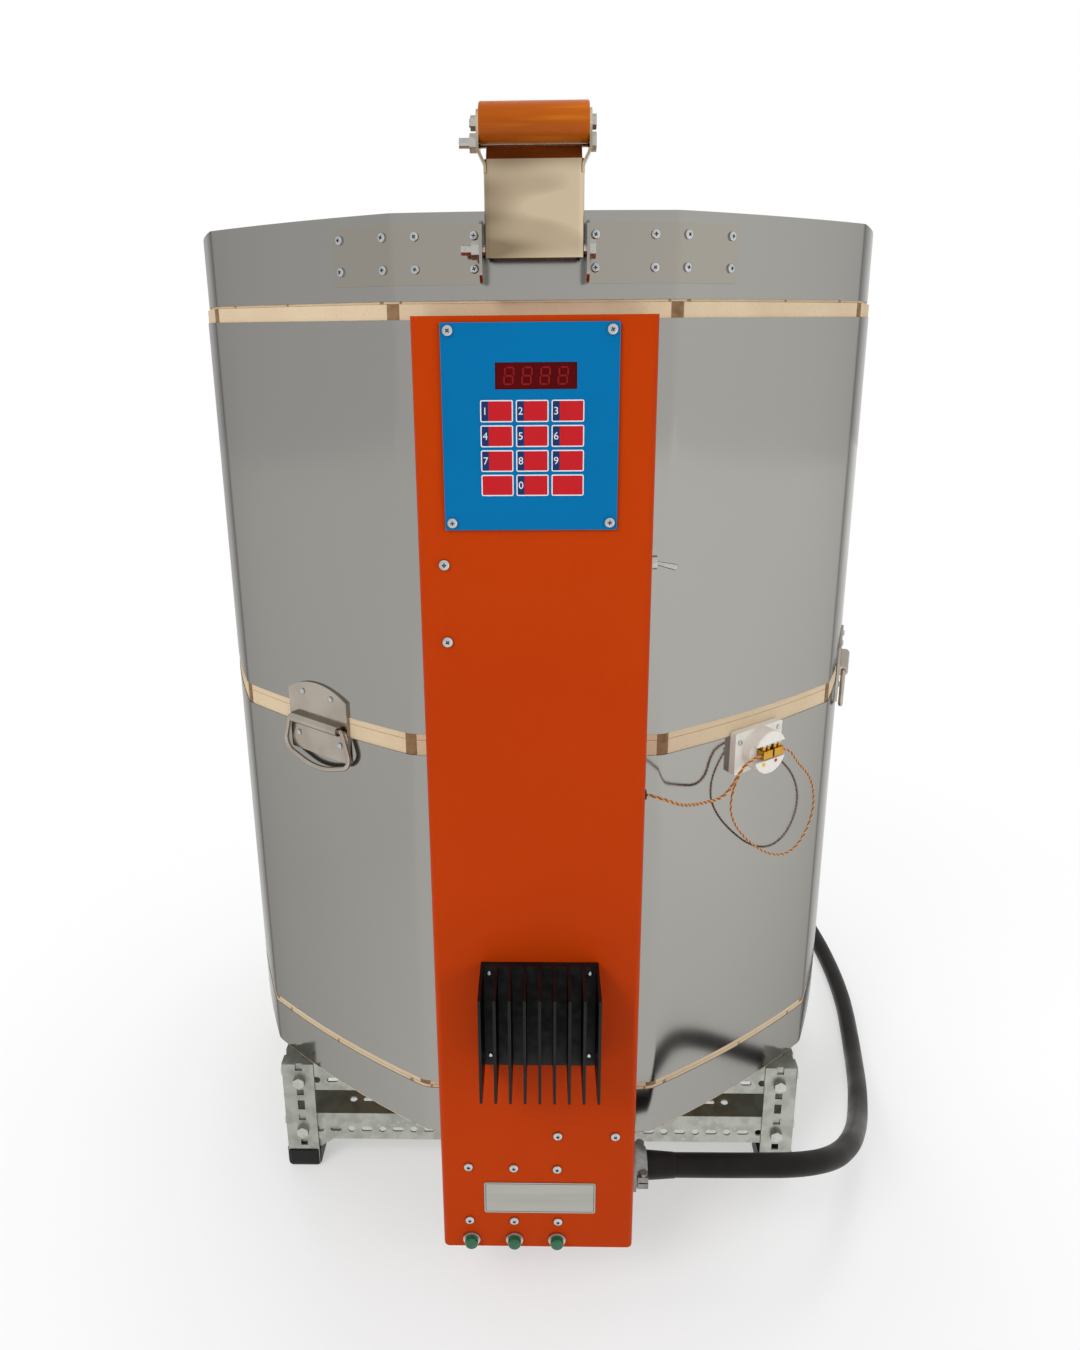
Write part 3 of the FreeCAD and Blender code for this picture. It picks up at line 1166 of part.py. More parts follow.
def leg():
    """The right front leg: an angle with its corner outside."""
    foot = FOOT_SOLE
    front = box(LEG_X - ANGLE, LEG_X, -LEG_Y, -LEG_Y + ANGLE_SHEET, foot, STAND_HEIGHT)
    side = box(LEG_X - ANGLE_SHEET, LEG_X, -LEG_Y, -LEG_Y + ANGLE, foot, STAND_HEIGHT)
    shape = front.fuse(side).removeSplitter()
    bend = [e for e in shape.Edges if e.BoundBox.ZLength > 50 and e.CenterOfMass.x > LEG_X - 0.1
            and e.CenterOfMass.y < -LEG_Y + 0.1]
    shape = shape.makeFillet(ANGLE_SHEET, bend)
    holes = []
    for z, reach in LEG_HOLES:
        holes.append(box(bolt_x - HOLE_ROUND, bolt_x + HOLE_ROUND, -LEG_Y - 1, -LEG_Y + 5,
                         z - reach, z + reach))
        holes.append(box(LEG_X - 5, LEG_X + 1, -bolt_y - HOLE_ROUND, -bolt_y + HOLE_ROUND,
                         z - reach, z + reach))
    return shape.cut(Part.makeCompound(holes)).cut(bolt_holes())


def four(shape):
    """The right front piece and its mirror images at the other corners."""
    left = mirrored(shape)
    return [shape, left, shape.mirror(ORIGIN, Y), left.mirror(ORIGIN, Y)]


save("stand_legs", four(leg()))


def foot_cap():
    """A rubber boot over the leg's end."""
    cap = box(LEG_X - ANGLE - FOOT_WALL, LEG_X + FOOT_WALL, -LEG_Y - FOOT_WALL, -LEG_Y + ANGLE + FOOT_WALL,
              0, FOOT_HEIGHT)
    cap = cap.makeFillet(6.0, [e for e in cap.Edges if e.BoundBox.ZLength > 5 or e.CenterOfMass.z < 1])
    slot = box(LEG_X - ANGLE - FIT, LEG_X + FIT, -LEG_Y - FIT, -LEG_Y + ANGLE_SHEET + FIT, FOOT_SOLE, 99)
    slot = slot.fuse(box(LEG_X - ANGLE_SHEET - FIT, LEG_X + FIT, -LEG_Y - FIT, -LEG_Y + ANGLE + FIT,
                         FOOT_SOLE, 99))
    return cap.cut(slot)


save("rubber_feet", four(foot_cap()))


def front_rail(head):
    """An angle across the front: its upright face outside, its flat shelf on top."""
    web = box(-rail_x + FIT, rail_x - FIT, -rail_y, -rail_y + ANGLE_SHEET, head - ANGLE, head)
    holes = hole_cutter(HOLE_COUNT, HOLE_PITCH, 3 * ANGLE_SHEET)
    holes.translate(Vector(0, -rail_y + ANGLE_SHEET / 2, head - ANGLE + HOLE_ROW))
    shelf_end = rail_x - ANGLE_SHEET - FIT
    shelf = box(-shelf_end, shelf_end, -rail_y, -rail_y + ANGLE, head - ANGLE_SHEET, head)
    slots = hole_cutter(HOLE_COUNT - 2, HOLE_PITCH, 3 * ANGLE_SHEET)
    slots.rotate(ORIGIN, X, 90)
    slots.translate(Vector(0, -rail_y + ANGLE - HOLE_ROW, head - ANGLE_SHEET / 2))
    return web.cut(holes).fuse(shelf.cut(slots)).removeSplitter().cut(bolt_holes())


def side_rail(head):
    """An angle along the side, its shelf notched at both ends to clear the front and back rails."""
    reach = rail_y - ANGLE_SHEET - FIT
    web = box(-reach, reach, -ANGLE_SHEET / 2, ANGLE_SHEET / 2, head - ANGLE, head)
    notch = rail_y - ANGLE - FIT
    shelf = box(-notch, notch, -ANGLE_SHEET / 2, ANGLE - ANGLE_SHEET / 2, head - ANGLE_SHEET, head)
    holes = hole_cutter(HOLE_COUNT - 2, HOLE_PITCH, 3 * ANGLE_SHEET)
    holes.translate(Vector(0, 0, head - ANGLE + HOLE_ROW))
    rail = web.cut(holes).fuse(shelf).removeSplitter()
    rail.rotate(ORIGIN, Z, 90)
    rail.translate(Vector(rail_x - ANGLE_SHEET / 2, 0, 0))
    return rail.cut(bolt_holes())


rails = []
for head in rail_heads:
    front = front_rail(head)
    side = side_rail(head)
    rails += [front, turned(front, 180), side, mirrored(side)]
save("stand_rails", rails)

# Gussets behind the lower rail at the two left corners
gusset_y = -rail_y + ANGLE_SHEET
gusset_head = LOWER_RAIL_Z + ANGLE - ANGLE_SHEET - FIT
gusset_end = rail_x - ANGLE_SHEET - FIT
gusset = slab([(-gusset_end, LOWER_RAIL_Z - 14.5), (-rail_x + 36, LOWER_RAIL_Z - 14.5),
               (-rail_x + 72, LOWER_RAIL_Z + 10), (-rail_x + 72, gusset_head), (-gusset_end, gusset_head)],
              ANGLE_SHEET, "y", gusset_y).cut(bolt_holes())
save("stand_gussets", [gusset, gusset.mirror(ORIGIN, Y)])


def stand_bolt(place, grip_length, direction):
    """A hexagon bolt with its nut; direction is the way from the head to the nut, in the floor's plane."""
    head = hexagon(13.0, 5.3, ORIGIN, X)
    head.translate(Vector(-5.3, 0, 0))
    nut = hexagon(13.0, 6.5, Vector(grip_length, 0, 0), X)
    bolt = join([head, rod(BOLT_RADIUS, Vector(-1, 0, 0), X, grip_length + 10), nut])
    bolt.rotate(ORIGIN, Z, direction)
    bolt.translate(place)
    return bolt


bolts = []
for z in bolt_heights:
    right = stand_bolt(Vector(bolt_x, -LEG_Y, z), 2 * ANGLE_SHEET, 90)
    sheets = 3 if z < STAND_HEIGHT / 2 else 2
    left = stand_bolt(Vector(-bolt_x, -LEG_Y, z), sheets * ANGLE_SHEET, 90)
    bolts += [right, left, right.mirror(ORIGIN, Y), left.mirror(ORIGIN, Y)]
    bolts += four(stand_bolt(Vector(LEG_X, -bolt_y, z), 2 * ANGLE_SHEET, 180))
save("stand_bolts", bolts)


# Mains cord: from the connector down to the floor, round the right side and into a coil behind

FLOOR_LIFT = CORD_RADIUS + 0.3
COIL_X = 150.0
COIL_Y = 440.0
COIL_TURN_RADIUS = 132.0
COIL_STACK = 2

cord_points = [Vector(gland_end, -CORD_Y, CORD_Z), Vector(165, -420, 151), Vector(220, -418, 149.5),
               Vector(275, -406, 141), Vector(320, -376.5, 123), Vector(355, -331, 97),
               Vector(381, -280, 71), Vector(403, -219, 47), Vector(420, -165, 30),
               Vector(434, -108, 17.5), Vector(446, -50, FLOOR_LIFT), Vector(458, 20, FLOOR_LIFT),
               Vector(463, 100, FLOOR_LIFT), Vector(460, 200, FLOOR_LIFT), Vector(444, 320, FLOOR_LIFT),
               Vector(400, 430, FLOOR_LIFT), Vector(325, 515, FLOOR_LIFT), Vector(238, 561, FLOOR_LIFT),
               Vector(COIL_X, COIL_Y + COIL_TURN_RADIUS, FLOOR_LIFT)]
cord_bends = cord_radii(cord_points)
cord_run = swept(cord_points, CORD_RADIUS, cord_bends)
print_radii("power cord run", cord_points, cord_bends, CORD_RADIUS)

coil_height = 2 * CORD_RADIUS * COIL_STACK + 1.0
coil_outer = COIL_TURN_RADIUS + CORD_RADIUS
coil = rod(coil_outer, Vector(COIL_X, COIL_Y, 0.3), Z, coil_height)
coil = coil.cut(rod(COIL_TURN_RADIUS - CORD_RADIUS, Vector(COIL_X, COIL_Y, -1), Z, coil_height + 5))
coil = coil.makeFillet(CORD_RADIUS * 0.7, [e for e in coil.Edges if e.Closed and e.BoundBox.ZLength < 1])
save("power_cord_coil", coil)

tail_z = FLOOR_LIFT + 2 * CORD_RADIUS * (COIL_STACK - 1)
tail_y = COIL_Y + COIL_TURN_RADIUS
tail_points = [Vector(COIL_X, tail_y, tail_z), Vector(COIL_X - 80, tail_y - 3, tail_z - 9),
               Vector(COIL_X - 165, tail_y - 22, 19), Vector(COIL_X - 240, tail_y - 60, 19)]
tail_bends = cord_radii(tail_points)
save("power_cord", [cord_run, swept(tail_points, CORD_RADIUS, tail_bends)])
print_radii("power cord tail", tail_points, tail_bends, CORD_RADIUS)


def power_plug():
    """A moulded 50 A plug, drawn along x from the cord and then laid in line with the tail."""
    relief = Part.makeCone(CORD_RADIUS + 1.5, 19.0, 34.0, ORIGIN, X)
    body = rod(29.0, Vector(34, 0, 0), X, 40)
    body = body.common(box(34, 74, -29, 29, -18.5, 18.5))
    body = body.makeFillet(3.0, [e for e in body.Edges if e.BoundBox.XLength < 0.1])
    return join([relief, body])


def plug_blades():
    blades = [box(74, 94, side * 11.0 - 0.9, side * 11.0 + 0.9, -6.0, 6.0) for side in (-1, 1)]
    blades.append(rod(3.0, Vector(74, 0, 9.5), X, 22))
    return blades


plug_direction = tail_points[-1] - tail_points[-2]
plug_angle = math.degrees(math.atan2(plug_direction.y, plug_direction.x))
for node, shapes in (("power_plug", [power_plug()]), ("plug_blades", plug_blades())):
    placed = []
    for shape in shapes:
        shape.rotate(ORIGIN, Z, plug_angle)
        shape.translate(tail_points[-1])
        placed.append(shape)
    save(node, placed)
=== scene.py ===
import bpy
import bmesh
import json
import math
import numpy as np
from mathutils import Matrix, Vector

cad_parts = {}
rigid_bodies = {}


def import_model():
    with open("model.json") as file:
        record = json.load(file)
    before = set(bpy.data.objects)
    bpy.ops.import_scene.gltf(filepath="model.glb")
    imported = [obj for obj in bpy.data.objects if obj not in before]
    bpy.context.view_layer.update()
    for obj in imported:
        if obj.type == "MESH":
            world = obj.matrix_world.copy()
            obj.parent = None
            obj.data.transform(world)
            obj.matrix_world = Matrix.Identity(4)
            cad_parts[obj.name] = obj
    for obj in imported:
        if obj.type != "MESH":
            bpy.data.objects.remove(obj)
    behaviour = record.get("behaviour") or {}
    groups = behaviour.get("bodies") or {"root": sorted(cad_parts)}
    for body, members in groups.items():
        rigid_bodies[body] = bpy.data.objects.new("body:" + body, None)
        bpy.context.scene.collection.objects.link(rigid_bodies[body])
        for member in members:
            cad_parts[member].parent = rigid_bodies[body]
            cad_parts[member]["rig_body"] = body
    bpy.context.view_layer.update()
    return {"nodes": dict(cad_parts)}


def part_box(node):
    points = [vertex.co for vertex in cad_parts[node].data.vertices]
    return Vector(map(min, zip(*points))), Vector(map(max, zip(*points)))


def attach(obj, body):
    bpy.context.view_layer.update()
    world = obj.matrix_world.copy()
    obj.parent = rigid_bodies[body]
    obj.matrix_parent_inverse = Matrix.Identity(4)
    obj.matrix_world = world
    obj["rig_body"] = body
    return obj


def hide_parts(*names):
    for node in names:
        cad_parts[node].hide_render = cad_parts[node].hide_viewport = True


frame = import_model()

# Camera
# It stands about a metre high and a metre and a quarter in front of the kiln's middle, with a wide lens,
# and looks down a little.
EYE_SIDE = 0.0043
EYE_DISTANCE = 1.2595
EYE_HEIGHT = 0.9938
EYE_YAW = math.radians(1.37)
EYE_TILT = math.radians(73.6)
EYE_ROLL = math.radians(-0.52)
base_low, base_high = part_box("base_slab")
axis_y = (base_low.y + base_high.y) / 2
camera_data = bpy.data.cameras.new("photo_camera")
camera_data.sensor_fit = "VERTICAL"
camera_data.sensor_height = 36.0
camera_data.lens = 26.54
camera_data.shift_x = 0.0164
camera_data.shift_y = -0.0419
camera = bpy.data.objects.new("photo_camera", camera_data)
bpy.context.scene.collection.objects.link(camera)
camera_place = Matrix.Translation((EYE_SIDE, axis_y - EYE_DISTANCE, EYE_HEIGHT))
camera_turn = Matrix.Rotation(EYE_YAW, 4, "Z") @ Matrix.Rotation(EYE_TILT, 4, "X")
camera.matrix_world = camera_place @ camera_turn @ Matrix.Rotation(EYE_ROLL, 4, "Z")
bpy.context.scene.camera = camera
bpy.context.scene.view_settings.view_transform = "Standard"


# Light and floor
# A white room with one side a little dimmer, which shows in polished steel, and four broad soft lamps.
# The floor takes the kiln's shadow close by and fades to white further out.
def scale_of(nodes, links, source, start, end, low, high):
    """Maps start..end of a value to low..high."""
    ramp = nodes.new("ShaderNodeMapRange")
    ramp.inputs["From Min"].default_value = start
    ramp.inputs["From Max"].default_value = end
    ramp.inputs["To Min"].default_value = low
    ramp.inputs["To Max"].default_value = high
    links.new(source, ramp.inputs["Value"])
    return ramp.outputs["Result"]


def blend_shaders(nodes, links, factor, first, second):
    """The first shader where the factor is 0, the second where it is 1."""
    mix = nodes.new("ShaderNodeMixShader")
    links.new(factor, mix.inputs["Fac"])
    links.new(first, mix.inputs[1])
    links.new(second, mix.inputs[2])
    return mix.outputs[0]


DIM_SIDE = 0.80
BRIGHT_SIDE = 1.06
FLOOR_GAIN = 1.17
ROOM_LIGHT = 0.55
FLOOR_WIDTH = 14.0
SHADOW_REACH = 0.35
WHITE_REACH = 1.25
WHITE_NEAR = 0.45
world = bpy.data.worlds.new("white_room")
bpy.context.scene.world = world
world.use_nodes = True
room = world.node_tree.nodes
room_links = world.node_tree.links
room.clear()
room_path = room.new("ShaderNodeLightPath")
room_place = room.new("ShaderNodeTexCoord")
room_split = room.new("ShaderNodeSeparateXYZ")
room_links.new(room_place.outputs["Generated"], room_split.inputs[0])
wall_white = room.new("ShaderNodeBackground")
wall_mirrored = room.new("ShaderNodeBackground")
room_links.new(scale_of(room, room_links, room_split.outputs[0], -0.8, 0.8, DIM_SIDE, BRIGHT_SIDE),
               wall_mirrored.inputs["Strength"])
wall_light = room.new("ShaderNodeBackground")
for wall, colour, strength in ((wall_white, (1.0, 1.0, 1.0), 1.0), (wall_mirrored, (1.0, 0.985, 0.96), 1.0),
                               (wall_light, (0.96, 0.98, 1.0), ROOM_LIGHT)):
    wall.inputs["Color"].default_value = (*colour, 1.0)
    wall.inputs["Strength"].default_value = strength
room_shade = blend_shaders(room, room_links, room_path.outputs["Is Camera Ray"],
                           wall_light.outputs[0], wall_white.outputs[0])
room_shade = blend_shaders(room, room_links, room_path.outputs["Is Transmission Ray"],
                           room_shade, wall_white.outputs[0])
room_shade = blend_shaders(room, room_links, room_path.outputs["Is Glossy Ray"],
                           room_shade, wall_mirrored.outputs[0])
room_out = room.new("ShaderNodeOutputWorld")
room_links.new(room_shade, room_out.inputs["Surface"])

bpy.ops.object.select_all(action="DESELECT")
bpy.ops.mesh.primitive_plane_add(size=FLOOR_WIDTH, location=(0, 0, 0))
floor = bpy.context.object
floor.name = "studio_floor"
floor_material = bpy.data.materials.new("studio_floor")
floor_material.use_nodes = True
floor_nodes = floor_material.node_tree.nodes
floor_links = floor_material.node_tree.links
floor_paint = floor_nodes["Principled BSDF"]
floor_paint.inputs["Base Color"].default_value = (0.86, 0.86, 0.86, 1.0)
floor_paint.inputs["Roughness"].default_value = 0.9
floor_path = floor_nodes.new("ShaderNodeLightPath")
floor_place = floor_nodes.new("ShaderNodeTexCoord")
floor_split = floor_nodes.new("ShaderNodeSeparateXYZ")
floor_links.new(floor_place.outputs["Object"], floor_split.inputs[0])
floor_reach = floor_nodes.new("ShaderNodeVectorMath")
floor_reach.operation = "LENGTH"
floor_links.new(floor_place.outputs["Object"], floor_reach.inputs[0])
floor_white = floor_nodes.new("ShaderNodeEmission")
floor_mirrored = floor_nodes.new("ShaderNodeEmission")
floor_mirrored.inputs["Color"].default_value = (1.0, 0.985, 0.955, 1.0)
floor_links.new(scale_of(floor_nodes, floor_links, floor_split.outputs[0], -1.0, 1.0, DIM_SIDE * FLOOR_GAIN,
                         BRIGHT_SIDE * FLOOR_GAIN),
                floor_mirrored.inputs["Strength"])
near_to_far = scale_of(floor_nodes, floor_links, floor_reach.outputs["Value"],
                       SHADOW_REACH, WHITE_REACH, WHITE_NEAR, 1.0)
floor_seen = blend_shaders(floor_nodes, floor_links, near_to_far,
                           floor_paint.outputs[0], floor_white.outputs[0])
floor_shade = blend_shaders(floor_nodes, floor_links, floor_path.outputs["Is Camera Ray"],
                            floor_paint.outputs[0], floor_seen)
floor_shade = blend_shaders(floor_nodes, floor_links, floor_path.outputs["Is Transmission Ray"],
                            floor_shade, floor_white.outputs[0])
floor_shade = blend_shaders(floor_nodes, floor_links, floor_path.outputs["Is Glossy Ray"],
                            floor_shade, floor_mirrored.outputs[0])
floor_links.new(floor_shade, floor_nodes["Material Output"].inputs["Surface"])
floor.data.materials.append(floor_material)


def soft_lamp(name, place, aim, width, watts):
    """A square area lamp that no polished surface shows."""
    lamp = bpy.data.lights.new(name, "AREA")
    lamp.shape = "RECTANGLE"
    lamp.size = width
    lamp.size_y = width
    lamp.energy = watts
    holder = bpy.data.objects.new(name, lamp)
    bpy.context.scene.collection.objects.link(holder)
    holder.location = place
    holder.rotation_euler = (Vector(aim) - Vector(place)).to_track_quat("-Z", "Y").to_euler()
    holder.visible_glossy = False


soft_lamp("key_lamp", (-1.9, -2.6, 2.9), (0, 0, 0.55), 1.6, 62)
soft_lamp("fill_lamp", (2.6, -2.2, 1.7), (0, 0, 0.55), 1.8, 30)
soft_lamp("top_lamp", (0.3, 0.9, 3.4), (0, 0, 0.9), 1.8, 45)
soft_lamp("back_lamp", (-1.2, 3.0, 2.2), (0, 0, 0.6), 1.8, 30)


# Mains cord
# Heavy black rubber flex from the clamp on the box's side, down to the floor and back past the right leg.
# What the photo hides lies as a neat coil behind the kiln, with the plug beside it.
def srgb(red, green, blue):
    """A colour as the eye reads it, 0 to 255, as the linear values that a shader takes."""
    return tuple(((c / 255 + 0.055) / 1.055) ** 2.4 for c in (red, green, blue))


METAL_EDGE = (0.55, 0.55, 0.55, 1.0)


def finish(name, colour, roughness, metallic=0.0, gloss=0.15):
    """A material with its colour and gloss; metals get an edge that stays duller than a mirror."""
    material = bpy.data.materials.new(name)
    material.use_nodes = True
    shader = material.node_tree.nodes["Principled BSDF"]
    shader.inputs["Base Color"].default_value = (*colour, 1.0)
    shader.inputs["Roughness"].default_value = roughness
    shader.inputs["Metallic"].default_value = metallic
    shader.inputs["Specular IOR Level"].default_value = gloss
    if metallic > 0.5:
        shader.inputs["Specular Tint"].default_value = METAL_EDGE
    return material


def grain(material, scale, stretch=(1.0, 1.0, 1.0), detail=3.0):
    """Noise over the piece's own coordinates, drawn out along the axes where stretch is small."""
    nodes, links = material.node_tree.nodes, material.node_tree.links
    place = nodes.new("ShaderNodeTexCoord")
    mapping = nodes.new("ShaderNodeMapping")
    mapping.inputs["Scale"].default_value = stretch
    noise = nodes.new("ShaderNodeTexNoise")
    noise.inputs["Scale"].default_value = scale
    noise.inputs["Detail"].default_value = detail
    links.new(place.outputs["Object"], mapping.inputs["Vector"])
    links.new(mapping.outputs["Vector"], noise.inputs["Vector"])
    return noise.outputs["Fac"]


NOISE_LOW = 0.35
NOISE_HIGH = 0.65


def vary_gloss(material, source, low, high):
    """Lets the roughness wander between two values as the source does."""
    nodes, links = material.node_tree.nodes, material.node_tree.links
    gloss = scale_of(nodes, links, source, NOISE_LOW, NOISE_HIGH, low, high)
    links.new(gloss, nodes["Principled BSDF"].inputs["Roughness"])


def stain(material, source, colour, start=0.45, end=0.65, amount=1.0):
    """Lays a second colour over the first wherever source is high."""
    nodes, links = material.node_tree.nodes, material.node_tree.links
    base = nodes["Principled BSDF"].inputs["Base Color"]
    mix = nodes.new("ShaderNodeMix")
    mix.data_type = "RGBA"
    links.new(scale_of(nodes, links, source, start, end, 0.0, amount), mix.inputs[0])
    if base.is_linked:
        links.new(base.links[0].from_socket, mix.inputs[6])
    else:
        mix.inputs[6].default_value = base.default_value
    mix.inputs[7].default_value = (*colour, 1.0)
    links.new(mix.outputs[2], base)


def emboss(material, source, depth):
    """Raises the surface where source is high; depth is in metres."""
    nodes, links = material.node_tree.nodes, material.node_tree.links
    normal = nodes["Principled BSDF"].inputs["Normal"]
    bump = nodes.new("ShaderNodeBump")
    bump.inputs["Distance"].default_value = depth
    bump.inputs["Strength"].default_value = 1.0
    links.new(source, bump.inputs["Height"])
    if normal.is_linked:
        links.new(normal.links[0].from_socket, bump.inputs["Normal"])
    links.new(bump.outputs["Normal"], normal)


def select_only(piece):
    bpy.ops.object.select_all(action="DESELECT")
    piece.select_set(True)
    bpy.context.view_layer.objects.active = piece


def keep(piece, node):
    """The piece rides where its CAD node does and stands for it."""
    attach(piece, frame["nodes"][node]["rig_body"])
    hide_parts(node)


SMOOTH_ANGLE = math.radians(32.0)


def smooth_node(node, material):
    """A CAD node's shape with its triangles merged and its curved faces shaded smooth."""
    piece = bpy.data.objects.new(node + "_piece", frame["nodes"][node].data.copy())
    bpy.context.scene.collection.objects.link(piece)
    select_only(piece)
    bpy.ops.mesh.customdata_custom_splitnormals_clear()
    bpy.ops.object.mode_set(mode="EDIT")
    bpy.ops.mesh.select_all(action="SELECT")
    bpy.ops.mesh.remove_doubles(threshold=0.00001)
    bpy.ops.object.mode_set(mode="OBJECT")
    bpy.ops.object.shade_smooth_by_angle(angle=SMOOTH_ANGLE)
    piece.data.materials.clear()
    piece.data.materials.append(material)
    keep(piece, node)
    return piece


def flex_curve(name, points, diameter):
    """One smooth open curve through the pull of its points, with a round section."""
    curve = bpy.data.curves.new(name, "CURVE")
    curve.dimensions = "3D"
    curve.bevel_depth = diameter / 2
    curve.bevel_resolution = 5
    curve.resolution_u = 10
    curve.use_fill_caps = True
    spline = curve.splines.new("NURBS")
    spline.points.add(len(points) - 1)
    for point, place in zip(spline.points, points):
        point.co = (*place, 1.0)
    spline.order_u = 3
    spline.use_endpoint_u = True
    piece = bpy.data.objects.new(name, curve)
    bpy.context.scene.collection.objects.link(piece)
    return piece


CORD_DIAMETER = 0.024
CORD_LIFT = 0.0123
COIL_MIDDLE = Vector((0.150, 0.440 + axis_y, 0.0))
COIL_RADIUS = 0.132
COIL_STEPS = 16
COIL_TURNS = 2
CLIMB_START = 10
CLIMB_STEPS = 6
cord_points = [(0.113, -0.420, 0.151), (0.170, -0.420, 0.1512), (0.223, -0.419, 0.1505),
               (0.278, -0.4115, 0.144), (0.3225, -0.382, 0.1245), (0.356, -0.333, 0.097),
               (0.382, -0.278, 0.070), (0.403, -0.219, 0.047), (0.420, -0.165, 0.030),
               (0.434, -0.108, 0.0175), (0.446, -0.050, CORD_LIFT),
               (0.458, 0.020, CORD_LIFT), (0.463, 0.100, CORD_LIFT), (0.460, 0.200, CORD_LIFT),
               (0.444, 0.320, CORD_LIFT), (0.400, 0.430, CORD_LIFT), (0.325, 0.515, CORD_LIFT),
               (0.238, 0.561, CORD_LIFT)]
cord_points = [Vector((x, y + axis_y, z)) for x, y, z in cord_points]
corner_reach = COIL_RADIUS / (0.5 + 0.5 * math.cos(math.pi / COIL_STEPS))
for step in range(COIL_STEPS * COIL_TURNS + 1):
    angle = math.pi / 2 + 2 * math.pi * step / COIL_STEPS
    rise = CORD_LIFT + CORD_DIAMETER * min(1.0, max(0.0, (step - CLIMB_START) / CLIMB_STEPS))
    turn_place = Vector((corner_reach * math.cos(angle), corner_reach * math.sin(angle), rise))
    cord_points.append(COIL_MIDDLE + turn_place)
for x, y, z in ((0.070, 0.569, 0.0273), (-0.015, 0.550, 0.019), (-0.090, 0.512, 0.019)):
    cord_points.append(Vector((x, y + axis_y, z)))

cord_rubber = finish("cord_rubber", srgb(20, 16, 16), 0.42, gloss=0.16)
stain(cord_rubber, grain(cord_rubber, 38.0), srgb(32, 28, 27), 0.45, 0.75, 0.6)
vary_gloss(cord_rubber, grain(cord_rubber, 14.0), 0.34, 0.52)
emboss(cord_rubber, grain(cord_rubber, 900.0), 0.00008)
mains_cord = flex_curve("mains_cord", cord_points, CORD_DIAMETER)
mains_cord.data.materials.append(cord_rubber)
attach(mains_cord, "kiln")
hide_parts("power_cord", "power_cord_coil")


def middle_of(element):
    """The middle of a vertex, edge or face."""
    corners = getattr(element, "verts", [element])
    return sum((corner.co for corner in corners), Vector()) / len(corners)


def edit(piece):
    select_only(piece)
    bpy.ops.object.mode_set(mode="EDIT")


def pick(kind, test):
    """Selects only those vertices, edges or faces of the open piece whose middle passes the test."""
    bpy.ops.mesh.select_mode(type={"verts": "VERT", "edges": "EDGE", "faces": "FACE"}[kind])
    bpy.ops.mesh.select_all(action="DESELECT")
    mesh = bmesh.from_edit_mesh(bpy.context.object.data)
    for element in getattr(mesh, kind):
        if test(middle_of(element), element):
            element.select_set(True)
    mesh.select_flush_mode()


def close():
    """Ends the editing of the open piece, with its place in its mesh and its round faces shaded smooth."""
    bpy.ops.object.mode_set(mode="OBJECT")
    bpy.ops.object.transform_apply(location=True, rotation=True, scale=True)
    bpy.ops.object.shade_smooth_by_angle(angle=SMOOTH_ANGLE)


SLEEVE_LENGTH = 0.030
SLEEVE_RADIUS = 0.0142
SLEEVE_FIT = 1.02
SLEEVE_ROUNDING = 0.0012
bpy.ops.object.select_all(action="DESELECT")
bpy.ops.mesh.primitive_cylinder_add(vertices=40, radius=SLEEVE_RADIUS, depth=SLEEVE_LENGTH,
                                    end_fill_type="NGON", location=(0, 0, SLEEVE_LENGTH / 2))
cord_sleeve = bpy.context.object
cord_sleeve.name = "cord_sleeve"
edit(cord_sleeve)
pick("verts", lambda middle, element: middle.z > 0)
taper = CORD_DIAMETER / 2 / SLEEVE_RADIUS * SLEEVE_FIT
bpy.ops.transform.resize(value=(taper, taper, 1.0))
pick("edges", lambda middle, element: middle.z > SLEEVE_LENGTH * 0.45 and len(element.link_faces) == 2
     and abs(element.verts[0].co.z - element.verts[1].co.z) < 1e-6)
bpy.ops.mesh.bevel(offset=SLEEVE_ROUNDING, segments=3, affect="EDGES")
close()
cord_sleeve.data.transform(Matrix.Translation(cord_points[0]) @ Matrix.Rotation(math.radians(90), 4, "Y"))
cord_sleeve.data.materials.append(cord_rubber)
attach(cord_sleeve, "kiln")

plug_rubber = finish("plug_rubber", srgb(24, 24, 25), 0.5, gloss=0.3)
emboss(plug_rubber, grain(plug_rubber, 500.0), 0.00012)
blade_brass = finish("blade_brass", srgb(214, 178, 92), 0.22, 1.0)
vary_gloss(blade_brass, grain(blade_brass, 160.0), 0.18, 0.34)
mains_plug = smooth_node("power_plug", plug_rubber)
mains_blades = smooth_node("plug_blades", blade_brass)


# Thermocouple lead
# Two fine woven wires twisted together, from the grommet in the box to the block, with a spare loop below it.
PROBE_TURN = math.radians(36.0)
PROBE_Z = 0.578


def on_block_side(along, out, rise):
    """A point by the thermocouple's facet: along it, out from the kiln's axis, and up from the tube."""
    return Vector((along * math.cos(PROBE_TURN) + out * math.sin(PROBE_TURN),
                   along * math.sin(PROBE_TURN) - out * math.cos(PROBE_TURN) + axis_y, PROBE_Z + rise))


